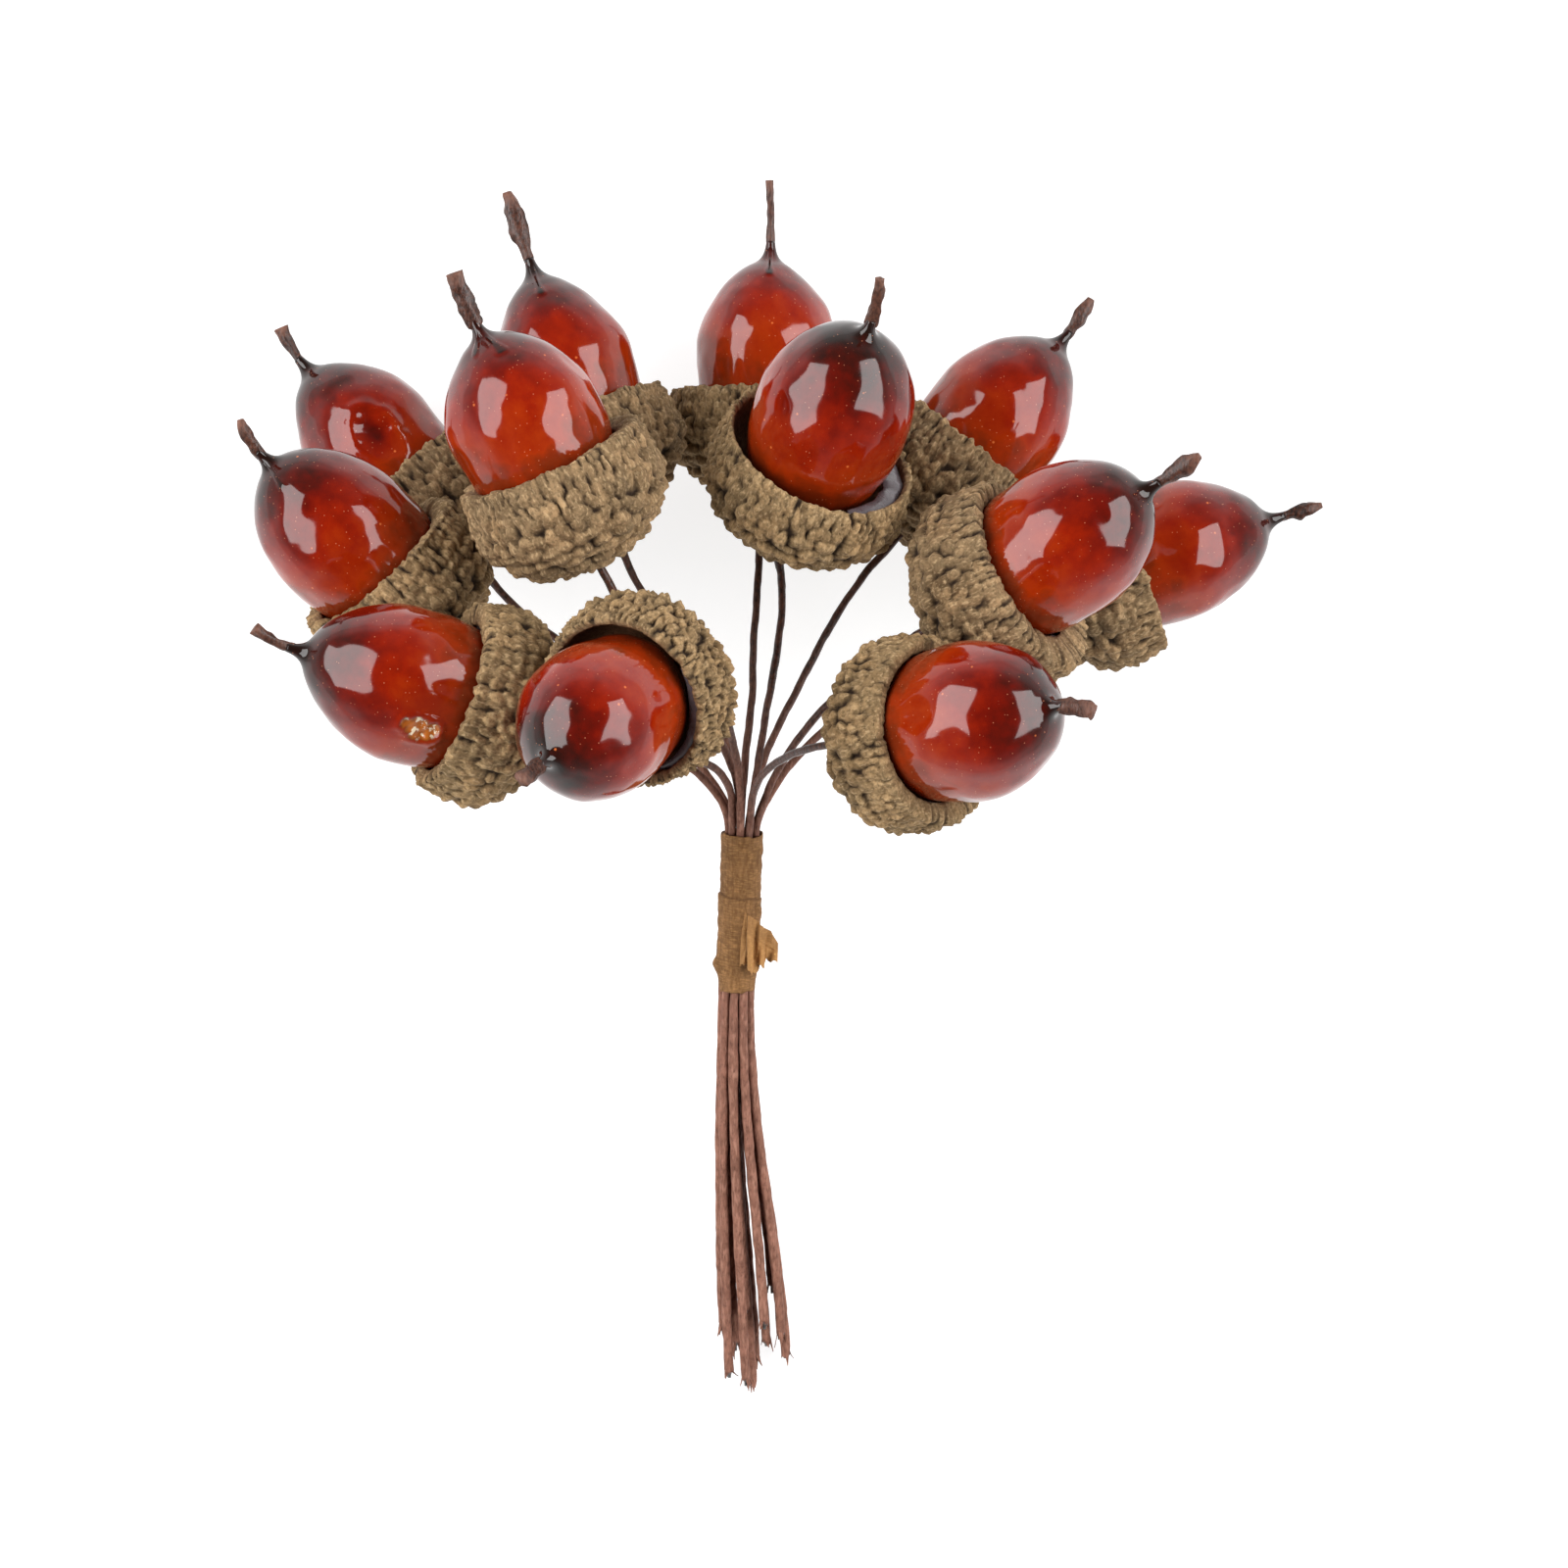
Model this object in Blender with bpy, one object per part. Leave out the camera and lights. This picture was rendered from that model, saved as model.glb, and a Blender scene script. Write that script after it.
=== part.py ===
"""A bunch of twelve acorns on stem wires, bound with floral tape.

Each acorn is a lacquered nut, formed on its own wire, glued into a natural cup.
The bunch lies on a table, on three of its cups and the wire ends.
+Z is up and +Y runs from the cut wire ends to the acorns. All lengths are in metres.
"""

from collections import namedtuple
from math import cos, pi, radians, sin, tau

import bmesh
import bpy
from mathutils import Matrix, Vector

MM = 0.001

# The wires, packed in the tape as an inner ring of three and an outer ring of nine
WIRE_RADIUS = 0.5 * MM
WIRE_HOLE_RADIUS = 0.9 * MM
INNER_RING_RADIUS = 0.70 * MM
OUTER_RING_RADIUS = 1.84 * MM
INNER_RING_COUNT = 3
OUTER_RING_COUNT = 9
OUTER_RING_TURN = 0.5

# The bunch's centre line: the wire ends, and the two ends of the tape
TAIL_END = Vector((-3.7, -82.6, 1.7)) * MM
TAPE_FOOT = Vector((-6.3, -27.3, 13.7)) * MM
TAPE_TOP = Vector((-5.5, -6.5, 18.6)) * MM
TAIL_SPREAD = 2.3
TAIL_TWIST = 10

# The tape, wound into one sleeve with a torn end that stands off it
TAPE_THICKNESS = 0.36 * MM
TAPE_INNER_TOP = 2.62 * MM
TAPE_INNER_FOOT = 2.58 * MM
TAPE_SIDES = 24
# The torn end, in mm: to the right of and above the tape's axis, then its span along it
TORN_END = [
    (1.61, 2.29, 4.5, 11.5),
    (2.44, 1.72, 4.5, 11.3),
    (3.30, 1.25, 4.0, 10.0),
    (4.30, 1.00, 3.6, 8.4),
    (5.20, 1.15, 4.2, 6.6),
]
TORN_END_THICKNESS = 0.26 * MM

# What every acorn shares, with heights measured along its axis from the cup's rim
CUP_WIDEST = -4.5 * MM
CUP_WALL = 1.8 * MM
CUP_LIP = 0.9 * MM
CUP_INNER_CORNER = -1.0 * MM
CUP_FLOOR = 3.0 * MM
NUT_SEAT_GAP = 1.0 * MM
NUT_WIDEST = 6.5 * MM
NUT_AT_RIM = 0.935
NUT_NECK_RADIUS = 1.2 * MM
NUT_NECK_LENGTH = 0.9 * MM
GLUE_CLEARANCE = 0.38 * MM
GLUE_ARC = 100
GLUE_DEPTH = Vector((0, 0, -1.2)) * MM
STEM_LEAD = 2.5 * MM

CUP_SIDES = 16
NUT_SIDES = 16

# The bounding box's centre, in the coordinates of the layout below
LAYOUT_CENTRE = Vector((1.535, -0.745, 0.0)) * MM

# Where each acorn sits. Rim centre and sizes are in mm, heading and lift in degrees.
# Heading turns from +X towards +Y, and lift raises the nut's tip off the horizontal.
# Fullness rounds out the nut's shoulder, and sway swings its wire to the right below the cup.
Acorn = namedtuple(
    "Acorn",
    "rim heading lift nut_width nut_length cup_width cup_depth lean lean_way glue_at"
    " ring place tail_cut leave arrive stalk_length stalk_turn fullness sway",
)
ACORNS = [
    Acorn((-41.7, 10.9, 53.0), 163, 19, 19.8, 19.6, 26.0, 13.0, 2, 150, 190,
          "outer", 3, 2, 14, 14, 6.0, -11, 1.7, 0),
    Acorn((-52.6, 28.0, 37.8), 135, 20, 19.8, 19.2, 26.0, 14.0, 2, 200, 190,
          "outer", 4, 8, 12, 12, 6.0, -14, 1.75, 0),
    Acorn((-51.2, 41.0, 12.7), 131, 0, 18.6, 19.2, 26.6, 14.0, 2, 60, 60,
          "outer", 5, 5, 10, 12, 6.0, -9, 1.65, 0),
    Acorn((-29.8, 40.4, 52.0), 117, 14, 19.8, 17.8, 26.2, 14.5, 2, 180, 200,
          "inner", 1, 11, 14, 14, 7.5, -4, 1.7, 0),
    Acorn((-26.9, 48.6, 25.5), 108, 0, 18.6, 19.2, 25.8, 14.0, 2, 20, 40,
          "inner", 2, 0, 16, 12, 10.5, 0, 1.6, 0),
    Acorn((-2.5, 52.4, 12.8), 88, 0, 19.0, 18.2, 26.6, 13.3, 2, 40, 40,
          "outer", 6, 3, 12, 12, 9.5, 3, 1.62, 0),
    Acorn((4.2, 42.7, 41.0), 66, 38, 20.3, 19.0, 27.2, 14.0, 2, 180, 180,
          "inner", 0, 6, 14, 8, 7.5, 11, 1.95, 6),
    Acorn((24.4, 43.9, 19.8), 50, 0, 18.6, 18.8, 26.6, 14.5, 2, 330, 330,
          "outer", 7, 13, 12, 12, 6.5, 6, 1.7, 0),
    Acorn((30.7, 27.6, 42.2), 32, 26, 19.8, 19.4, 28.0, 14.5, 5, 190, 170,
          "outer", 0, 7, 10, 12, 7.5, 1, 1.85, 0),
    Acorn((46.8, 29.4, 12.85), 18, 0, 18.8, 19.2, 26.6, 14.0, 2, 20, 20,
          "outer", 8, 4, 10, 12, 6.5, -2, 1.7, 0),
    Acorn((18.7, 7.1, 56.8), 9, 43, 19.8, 18.8, 25.4, 12.5, 3, 190, 170,
          "outer", 1, 9, 10, 14, 6.0, -17, 1.95, 0),
    Acorn((-19.7, 10.0, 67.4), 220, 51, 18.9, 17.0, 24.4, 12.0, 2, 80, 30,
          "outer", 2, 1, 14, 7, 5.5, 2, 1.95, 0),
]


def start_clean():
    """Remove whatever the scene holds."""
    for thing in list(bpy.data.objects):
        bpy.data.objects.remove(thing, do_unlink=True)


def material(name, colour, roughness, coat=0.0):
    """A Principled material with one colour."""
    made = bpy.data.materials.new(name)
    made.use_nodes = True
    shader = made.node_tree.nodes["Principled BSDF"]
    shader.inputs["Base Color"].default_value = (*colour, 1.0)
    shader.inputs["Roughness"].default_value = roughness
    shader.inputs["Metallic"].default_value = 0.0
    shader.inputs["Coat Weight"].default_value = coat
    return made


def numbered(name, index):
    """The name of one of the twelve, such as nut_07."""
    return f"{name}_{index + 1:02d}"


def direction(heading, lift):
    """The unit vector with this heading and lift, in degrees."""
    turn = Matrix.Rotation(radians(heading), 3, "Z")
    raised = Matrix.Rotation(radians(-lift), 3, "Y")
    return turn @ raised @ Vector((1, 0, 0))


def upright_frame(along):
    """Side and up, square to the direction along."""
    side = Vector((0, 0, 1)).cross(along).normalized()
    return side, along.cross(side)


def placing(point, along):
    """The matrix that puts a shape's Z axis along a direction, its Y axis up and its origin at point."""
    side, up = upright_frame(along)
    return Matrix.Translation(point) @ Matrix((side, up, along)).transposed().to_4x4()


def between(start, end, share):
    """The value a share of the way from start to end."""
    return start + (end - start) * share


def bezier(start, handle_a, handle_b, end, share):
    """A point on a cubic Bezier curve."""
    rest = 1 - share
    return (
        start * rest**3
        + handle_a * 3 * rest**2 * share
        + handle_b * 3 * rest * share**2
        + end * share**3
    )


def rounded(radius, height, corner, steps, fullness):
    """Points round a quarter of an oval, from (radius, corner) until just short of (0, height)."""
    points = []
    for step in range(steps):
        angle = 0.5 * pi * step / steps
        across = cos(angle) ** (2 / fullness)
        along = sin(angle) ** (2 / fullness)
        points.append((radius * across, between(corner, height, along)))
    return points


def turned_body(name, outline, sides, matrix, finish):
    """A closed ring of material: the outline, as (radius, height) points, spun round Z."""
    mesh = bmesh.new()
    corners = [mesh.verts.new((radius, 0, height)) for radius, height in outline]
    for here, there in zip(corners, corners[1:] + corners[:1]):
        mesh.edges.new((here, there))
    bmesh.ops.spin(
        mesh,
        geom=mesh.verts[:] + mesh.edges[:],
        axis=(0, 0, 1),
        cent=(0, 0, 0),
        angle=tau,
        steps=sides,
        use_merge=True,
    )
    bmesh.ops.remove_doubles(mesh, verts=mesh.verts[:], dist=1e-7)
    bmesh.ops.recalc_face_normals(mesh, faces=mesh.faces[:])
    rest_on_table(mesh, matrix)
    return add_object(name, mesh, matrix, finish)


def rest_on_table(mesh, matrix):
    """Slice off what would reach below the table, which leaves a small flat to rest on."""
    if min((matrix @ corner.co).z for corner in mesh.verts) >= 0:
        return
    into_shape = matrix.inverted()
    cut = bmesh.ops.bisect_plane(
        mesh,
        geom=mesh.verts[:] + mesh.edges[:] + mesh.faces[:],
        dist=1e-7,
        plane_co=into_shape @ Vector((0, 0, 0)),
        plane_no=into_shape.to_3x3() @ Vector((0, 0, 1)),
        clear_inner=True,
    )
    edge = [part for part in cut["geom_cut"] if isinstance(part, bmesh.types.BMEdge)]
    bmesh.ops.contextual_create(mesh, geom=edge)
    bmesh.ops.recalc_face_normals(mesh, faces=mesh.faces[:])


def add_object(name, mesh, matrix, finish):
    """Make the bmesh a named object, smooth except at its sharp edges."""
    data = bpy.data.meshes.new(name)
    mesh.to_mesh(data)
    mesh.free()
    data.shade_smooth()
    data.set_sharp_from_angle(angle=radians(40))
    data.materials.append(finish)
    made = bpy.data.objects.new(name, data)
    made.matrix_world = matrix
    bpy.context.scene.collection.objects.link(made)
    return made


def add_tube(name, points, radius, roundness, finish):
    """A round bar with closed ends through the points."""
    curve = bpy.data.curves.new(name, "CURVE")
    curve.dimensions = "3D"
    curve.bevel_depth = radius
    curve.bevel_resolution = roundness
    curve.use_fill_caps = True
    line = curve.splines.new("POLY")
    line.points.add(len(points) - 1)
    for spot, point in zip(line.points, points):
        spot.co = (*point, 1.0)
    curve.materials.append(finish)
    made = bpy.data.objects.new(name, curve)
    bpy.context.scene.collection.objects.link(made)
    return made


def rim_point(acorn):
    """The centre of an acorn's cup rim, with the bunch centred on the origin."""
    return Vector(acorn.rim) * MM - LAYOUT_CENTRE


def nut_place(acorn):
    """Where the nut goes: its axis along the wire."""
    return placing(rim_point(acorn), direction(acorn.heading, acorn.lift))


def cap_place(acorn):
    """Where the cup goes: it leans a little, about the wire's hole in its floor."""
    floor = Matrix.Translation((0, 0, CUP_FLOOR / 2 - acorn.cup_depth * MM))
    way = radians(acorn.lean_way)
    lean = Matrix.Rotation(radians(acorn.lean), 4, Vector((-sin(way), cos(way), 0)))
    return nut_place(acorn) @ floor @ lean @ floor.inverted()


def ring_offset(acorn, along, spread=1.0, twist=0):
    """How far an acorn's wire lies from the middle of the bundle, looking along it."""
    side, up = upright_frame(along)
    if acorn.ring == "inner":
        radius, angle = INNER_RING_RADIUS, tau * acorn.place / INNER_RING_COUNT
    else:
        radius = OUTER_RING_RADIUS
        angle = tau * (acorn.place + OUTER_RING_TURN) / OUTER_RING_COUNT
    angle += radians(twist)
    return up * radius * sin(angle) - side * radius * cos(angle) * spread


def tail_points(acorn, steps=7):
    """The free wire from its cut end up to the foot of the tape."""
    foot = TAPE_FOOT - LAYOUT_CENTRE
    slope = (TAPE_TOP - TAPE_FOOT).normalized()
    run = TAPE_FOOT - TAIL_END
    start = TAIL_END - LAYOUT_CENTRE + run.normalized() * acorn.tail_cut * MM
    start = start + ring_offset(acorn, run.normalized(), TAIL_SPREAD, TAIL_TWIST)
    end = foot + ring_offset(acorn, slope)
    reach = (end - start).length / 3
    handle_a = start + run.normalized() * reach
    handle_b = end - slope * reach
    return [bezier(start, handle_a, handle_b, end, step / steps) for step in range(steps)]


def fan_points(acorn, steps=12):
    """The wire from the top of the tape round to the foot of the acorn's cup."""
    slope = (TAPE_TOP - TAPE_FOOT).normalized()
    along = direction(acorn.heading, acorn.lift)
    start = TAPE_TOP - LAYOUT_CENTRE + ring_offset(acorn, slope)
    side, _ = upright_frame(along)
    end = cup_foot(acorn, STEM_LEAD)
    handle_a = start + slope * acorn.leave * MM
    handle_b = end - along * acorn.arrive * MM - side * acorn.sway * MM
    return [bezier(start, handle_a, handle_b, end, step / steps) for step in range(steps)]


def stalk_points(acorn, steps=4):
    """The wire through the cup and the nut, and its bent end beyond the nut's tip."""
    along = direction(acorn.heading, acorn.lift)
    bent = direction(acorn.heading + 2 * acorn.stalk_turn, acorn.lift)
    rim = rim_point(acorn)
    tip = rim + along * (acorn.nut_length + 1) * MM
    handle = tip + along * acorn.stalk_length * 0.5 * MM
    end = handle + bent * acorn.stalk_length * 0.5 * MM
    bend = [
        bezier(tip, between(tip, handle, 0.67), between(end, handle, 0.67), end, step / steps)
        for step in range(steps + 1)
    ]
    return [cup_foot(acorn, STEM_LEAD), cup_foot(acorn), rim] + bend


def stem_route(acorn):
    """An acorn's whole wire, from its cut end to the end beyond the nut."""
    foot = TAPE_FOOT - LAYOUT_CENTRE
    top = TAPE_TOP - LAYOUT_CENTRE
    offset = ring_offset(acorn, (TAPE_TOP - TAPE_FOOT).normalized())
    taped = [foot + offset, between(foot, top, 0.5) + offset]
    return tail_points(acorn) + taped + fan_points(acorn) + stalk_points(acorn)


def cup_foot(acorn, beyond=0.0):
    """The point on the acorn's axis at the outside of its cup's floor, or beyond it."""
    along = direction(acorn.heading, acorn.lift)
    return rim_point(acorn) - along * (acorn.cup_depth * MM + beyond)


def add_nut(index, acorn, finish):
    """The lacquered nut, with the wire's hole along its axis and a short neck at the tip."""
    radius = acorn.nut_width / 2 * MM
    length = acorn.nut_length * MM
    seat = CUP_FLOOR + NUT_SEAT_GAP - acorn.cup_depth * MM
    upper = rounded(radius, length, NUT_WIDEST, 7, acorn.fullness)
    lower = rounded(radius, seat, NUT_WIDEST, 4, 2.3)
    outline = [(WIRE_HOLE_RADIUS, seat)]
    outline += list(reversed(lower[1:]))
    outline += upper
    outline += [
        (NUT_NECK_RADIUS, length + NUT_NECK_LENGTH / 3),
        (WIRE_HOLE_RADIUS, length + NUT_NECK_LENGTH),
    ]
    turned_body(numbered("nut", index), outline, NUT_SIDES, nut_place(acorn), finish)


def add_cap(index, acorn, finish):
    """The natural acorn cup, with a hole through its foot for the wire."""
    outer = acorn.cup_width / 2 * MM
    inner = outer - CUP_WALL
    depth = acorn.cup_depth * MM
    outside = rounded(outer, -depth, CUP_WIDEST, 5, 2.1)
    inside = rounded(inner, CUP_FLOOR - depth, CUP_INNER_CORNER, 4, 2.2)
    outline = [(WIRE_HOLE_RADIUS, -depth)]
    outline += list(reversed(outside))
    outline += [(outer - CUP_LIP / 2, -CUP_LIP), (outer - CUP_LIP, 0), (inner, 0)]
    outline += inside
    outline += [(WIRE_HOLE_RADIUS, CUP_FLOOR - depth)]
    turned_body(numbered("cap", index), outline, CUP_SIDES, cap_place(acorn), finish)


def add_glue(index, acorn, finish, steps=8):
    """A bead of set glue along part of the gap between the nut and the cup's rim."""
    points = []
    gaps = []
    for step in range(steps + 1):
        angle = radians(acorn.glue_at + GLUE_ARC * (step / steps - 0.5))
        away = Matrix.Rotation(angle, 3, "Z") @ Vector((1, 0, 0))
        rim_radius = acorn.cup_width / 2 * MM - CUP_WALL
        on_cup = cap_place(acorn) @ (away * rim_radius + GLUE_DEPTH)
        on_nut = nut_place(acorn) @ (away * acorn.nut_width / 2 * NUT_AT_RIM * MM + GLUE_DEPTH)
        points.append(between(on_nut, on_cup, 0.5))
        gaps.append((on_cup - on_nut).length)
    bead_radius = min(gaps) / 2 - GLUE_CLEARANCE
    add_tube(numbered("glue_bead", index), points, bead_radius, 1, finish)


def torn_end(matrix):
    """The loose end of the tape: a thin curved tab, rooted in the sleeve's wall."""
    mesh = bmesh.new()
    rings = []
    for here, (across, up, low, high) in enumerate(TORN_END):
        before = TORN_END[max(here - 1, 0)]
        after = TORN_END[min(here + 1, len(TORN_END) - 1)]
        run = Vector((after[0] - before[0], after[1] - before[1])).normalized()
        half = Vector((-run.y, run.x)) * TORN_END_THICKNESS / 2
        ring = []
        for side, height in ((1, low), (-1, low), (-1, high), (1, high)):
            spot = Vector((across, up)) * MM + half * side
            ring.append(mesh.verts.new((-spot.x, spot.y, height * MM)))
        rings.append(ring)
    for near, far in zip(rings, rings[1:]):
        for corner in range(4):
            after = (corner + 1) % 4
            mesh.faces.new((near[corner], near[after], far[after], far[corner]))
    mesh.faces.new(rings[0])
    mesh.faces.new(rings[-1])
    bmesh.ops.recalc_face_normals(mesh, faces=mesh.faces[:])
    data = bpy.data.meshes.new("torn_end_shape")
    mesh.to_mesh(data)
    mesh.free()
    made = bpy.data.objects.new("torn_end_shape", data)
    made.matrix_world = matrix
    made.hide_render = True
    made.display_type = "WIRE"
    bpy.context.scene.collection.objects.link(made)
    return made


def add_tape(finish):
    """The sleeve of wound tape round the bundle, with its torn end joined on."""
    foot = TAPE_FOOT - LAYOUT_CENTRE
    top = TAPE_TOP - LAYOUT_CENTRE
    length = (top - foot).length
    outline = [
        (TAPE_INNER_FOOT, 0),
        (TAPE_INNER_FOOT + TAPE_THICKNESS, 0),
        (TAPE_INNER_TOP + TAPE_THICKNESS, length * 0.4),
        (TAPE_INNER_TOP + TAPE_THICKNESS, length),
        (TAPE_INNER_TOP, length),
        (TAPE_INNER_TOP, length * 0.4),
    ]
    matrix = placing(foot, (top - foot).normalized())
    sleeve = turned_body("binding_tape", outline, TAPE_SIDES, matrix, finish)
    joined = sleeve.modifiers.new("torn_end", "BOOLEAN")
    joined.operation = "UNION"
    joined.object = torn_end(matrix)


def build():
    start_clean()
    lacquer = material("nut_lacquer", (0.26, 0.035, 0.008), 0.08, coat=1.0)
    cupule = material("cap_scales", (0.33, 0.25, 0.15), 0.9)
    paper = material("stem_paper", (0.24, 0.14, 0.09), 0.8)
    glue = material("glue", (0.55, 0.55, 0.55), 0.25)
    crepe = material("tape_crepe", (0.27, 0.18, 0.10), 0.7)
    for index, acorn in enumerate(ACORNS):
        add_nut(index, acorn, lacquer)
        add_cap(index, acorn, cupule)
        add_tube(numbered("stem_wire", index), stem_route(acorn), WIRE_RADIUS, 2, paper)
        add_glue(index, acorn, glue)
    add_tape(crepe)


build()
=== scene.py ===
"""The looks of the acorn bunch: every nut, cup, wire, glue bead and the tape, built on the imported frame.

Lengths in the layout are in mm, as in the part's own source, and MM turns them into metres.
The bunch lies on the table, seen from straight above, on a white board between two soft boxes.
"""

from collections import namedtuple
from itertools import product
from math import cos, pi, radians, sin, tau

import bpy
import numpy as np
from mathutils import Matrix, Vector


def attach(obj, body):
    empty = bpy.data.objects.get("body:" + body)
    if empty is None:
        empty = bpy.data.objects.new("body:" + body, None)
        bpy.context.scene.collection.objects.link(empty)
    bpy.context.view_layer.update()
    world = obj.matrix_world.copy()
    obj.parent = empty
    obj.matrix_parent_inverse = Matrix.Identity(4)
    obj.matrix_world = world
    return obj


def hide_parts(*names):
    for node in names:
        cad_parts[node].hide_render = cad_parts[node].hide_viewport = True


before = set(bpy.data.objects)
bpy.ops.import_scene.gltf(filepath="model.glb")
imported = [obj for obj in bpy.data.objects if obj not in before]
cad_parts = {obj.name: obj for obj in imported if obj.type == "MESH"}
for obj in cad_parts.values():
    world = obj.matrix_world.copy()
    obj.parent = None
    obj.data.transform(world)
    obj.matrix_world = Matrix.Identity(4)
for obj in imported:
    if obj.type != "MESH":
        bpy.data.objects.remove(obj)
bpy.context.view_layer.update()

MM = 0.001

# ---------------------------------------------------------------- the layout, as in the part's source

WIRE_RADIUS = 0.5 * MM
INNER_RING_RADIUS = 0.70 * MM
OUTER_RING_RADIUS = 1.84 * MM
INNER_RING_COUNT = 3
OUTER_RING_COUNT = 9
OUTER_RING_TURN = 0.5

TAIL_END = Vector((-3.7, -82.6, 1.7)) * MM
TAPE_FOOT = Vector((-6.3, -27.3, 13.7)) * MM
TAPE_TOP = Vector((-5.5, -6.5, 18.6)) * MM
TAIL_SPREAD = 2.3
TAIL_TWIST = 10

CUP_WIDEST = -4.5 * MM
CUP_WALL = 1.8 * MM
CUP_INNER_CORNER = -1.0 * MM
CUP_FLOOR = 3.0 * MM
NUT_SEAT_GAP = 1.0 * MM
NUT_WIDEST = 6.5 * MM
NUT_AT_RIM = 0.935
GLUE_ARC = 100
GLUE_DEPTH = Vector((0, 0, -1.2)) * MM
STEM_LEAD = 2.5 * MM

LAYOUT_CENTRE = Vector((1.535, -0.745, 0.0)) * MM

Acorn = namedtuple(
    "Acorn",
    "rim heading lift nut_width nut_length cup_width cup_depth lean lean_way glue_at"
    " ring place tail_cut leave arrive stalk_length stalk_turn fullness sway",
)
ACORNS = [
    Acorn((-41.7, 10.9, 53.0), 163, 19, 19.8, 19.6, 26.0, 13.0, 2, 150, 190,
          "outer", 3, 2, 14, 14, 6.0, -11, 1.7, 0),
    Acorn((-52.6, 28.0, 37.8), 135, 20, 19.8, 19.2, 26.0, 14.0, 2, 200, 190,
          "outer", 4, 8, 12, 12, 6.0, -14, 1.75, 0),
    Acorn((-51.2, 41.0, 12.7), 131, 0, 18.6, 19.2, 26.6, 14.0, 2, 60, 60,
          "outer", 5, 5, 10, 12, 6.0, -9, 1.65, 0),
    Acorn((-29.8, 40.4, 52.0), 117, 14, 19.8, 17.8, 26.2, 14.5, 2, 180, 200,
          "inner", 1, 11, 14, 14, 7.5, -4, 1.7, 0),
    Acorn((-26.9, 48.6, 25.5), 108, 0, 18.6, 19.2, 25.8, 14.0, 2, 20, 40,
          "inner", 2, 0, 16, 12, 10.5, 0, 1.6, 0),
    Acorn((-2.5, 52.4, 12.8), 88, 0, 19.0, 18.2, 26.6, 13.3, 2, 40, 40,
          "outer", 6, 3, 12, 12, 9.5, 3, 1.62, 0),
    Acorn((4.2, 42.7, 41.0), 66, 38, 20.3, 19.0, 27.2, 14.0, 2, 180, 180,
          "inner", 0, 6, 14, 8, 7.5, 11, 1.95, 6),
    Acorn((24.4, 43.9, 19.8), 50, 0, 18.6, 18.8, 26.6, 14.5, 2, 330, 330,
          "outer", 7, 13, 12, 12, 6.5, 6, 1.7, 0),
    Acorn((30.7, 27.6, 42.2), 32, 26, 19.8, 19.4, 28.0, 14.5, 5, 190, 170,
          "outer", 0, 7, 10, 12, 7.5, 1, 1.85, 0),
    Acorn((46.8, 29.4, 12.85), 18, 0, 18.8, 19.2, 26.6, 14.0, 2, 20, 20,
          "outer", 8, 4, 10, 12, 6.5, -2, 1.7, 0),
    Acorn((18.7, 7.1, 56.8), 9, 43, 19.8, 18.8, 25.4, 12.5, 3, 190, 170,
          "outer", 1, 9, 10, 14, 6.0, -17, 1.95, 0),
    Acorn((-19.7, 10.0, 67.4), 220, 51, 18.9, 17.0, 24.4, 12.0, 2, 80, 30,
          "outer", 2, 1, 14, 7, 5.5, 2, 1.95, 0),
]


def numbered(name, index):
    """The name of one of the twelve, such as nut_07."""
    return f"{name}_{index + 1:02d}"


def direction(heading, lift):
    """The unit vector with this heading and lift, in degrees."""
    turn = Matrix.Rotation(radians(heading), 3, "Z")
    raised = Matrix.Rotation(radians(-lift), 3, "Y")
    return turn @ raised @ Vector((1, 0, 0))


def upright_frame(along):
    """Side and up, square to the direction along."""
    side = Vector((0, 0, 1)).cross(along).normalized()
    return side, along.cross(side)


def placing(point, along):
    """The matrix that puts a shape's Z axis along a direction, its Y axis up and its origin at point."""
    side, up = upright_frame(along)
    return Matrix.Translation(point) @ Matrix((side, up, along)).transposed().to_4x4()


def between(start, end, share):
    """The value a share of the way from start to end."""
    return start + (end - start) * share


def bezier(start, handle_a, handle_b, end, share):
    """A point on a cubic Bezier curve."""
    rest = 1 - share
    return (
        start * rest**3
        + handle_a * 3 * rest**2 * share
        + handle_b * 3 * rest * share**2
        + end * share**3
    )


def rim_point(acorn):
    """The centre of an acorn's cup rim, with the bunch centred on the origin."""
    return Vector(acorn.rim) * MM - LAYOUT_CENTRE


def nut_place(acorn):
    """Where the nut goes: its axis along the wire."""
    return placing(rim_point(acorn), direction(acorn.heading, acorn.lift))


def cap_place(acorn):
    """Where the cup goes: it leans a little, about the wire's hole in its floor."""
    floor = Matrix.Translation((0, 0, CUP_FLOOR / 2 - acorn.cup_depth * MM))
    way = radians(acorn.lean_way)
    lean = Matrix.Rotation(radians(acorn.lean), 4, Vector((-sin(way), cos(way), 0)))
    return nut_place(acorn) @ floor @ lean @ floor.inverted()


def ring_offset(acorn, along, spread=1.0, twist=0):
    """How far an acorn's wire lies from the middle of the bundle, looking along it."""
    side, up = upright_frame(along)
    if acorn.ring == "inner":
        radius, angle = INNER_RING_RADIUS, tau * acorn.place / INNER_RING_COUNT
    else:
        radius = OUTER_RING_RADIUS
        angle = tau * (acorn.place + OUTER_RING_TURN) / OUTER_RING_COUNT
    angle += radians(twist)
    return up * radius * sin(angle) - side * radius * cos(angle) * spread


def cup_foot(acorn, beyond=0.0):
    """The point on the acorn's axis at the outside of its cup's floor, or beyond it."""
    along = direction(acorn.heading, acorn.lift)
    return rim_point(acorn) - along * (acorn.cup_depth * MM + beyond)


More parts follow.
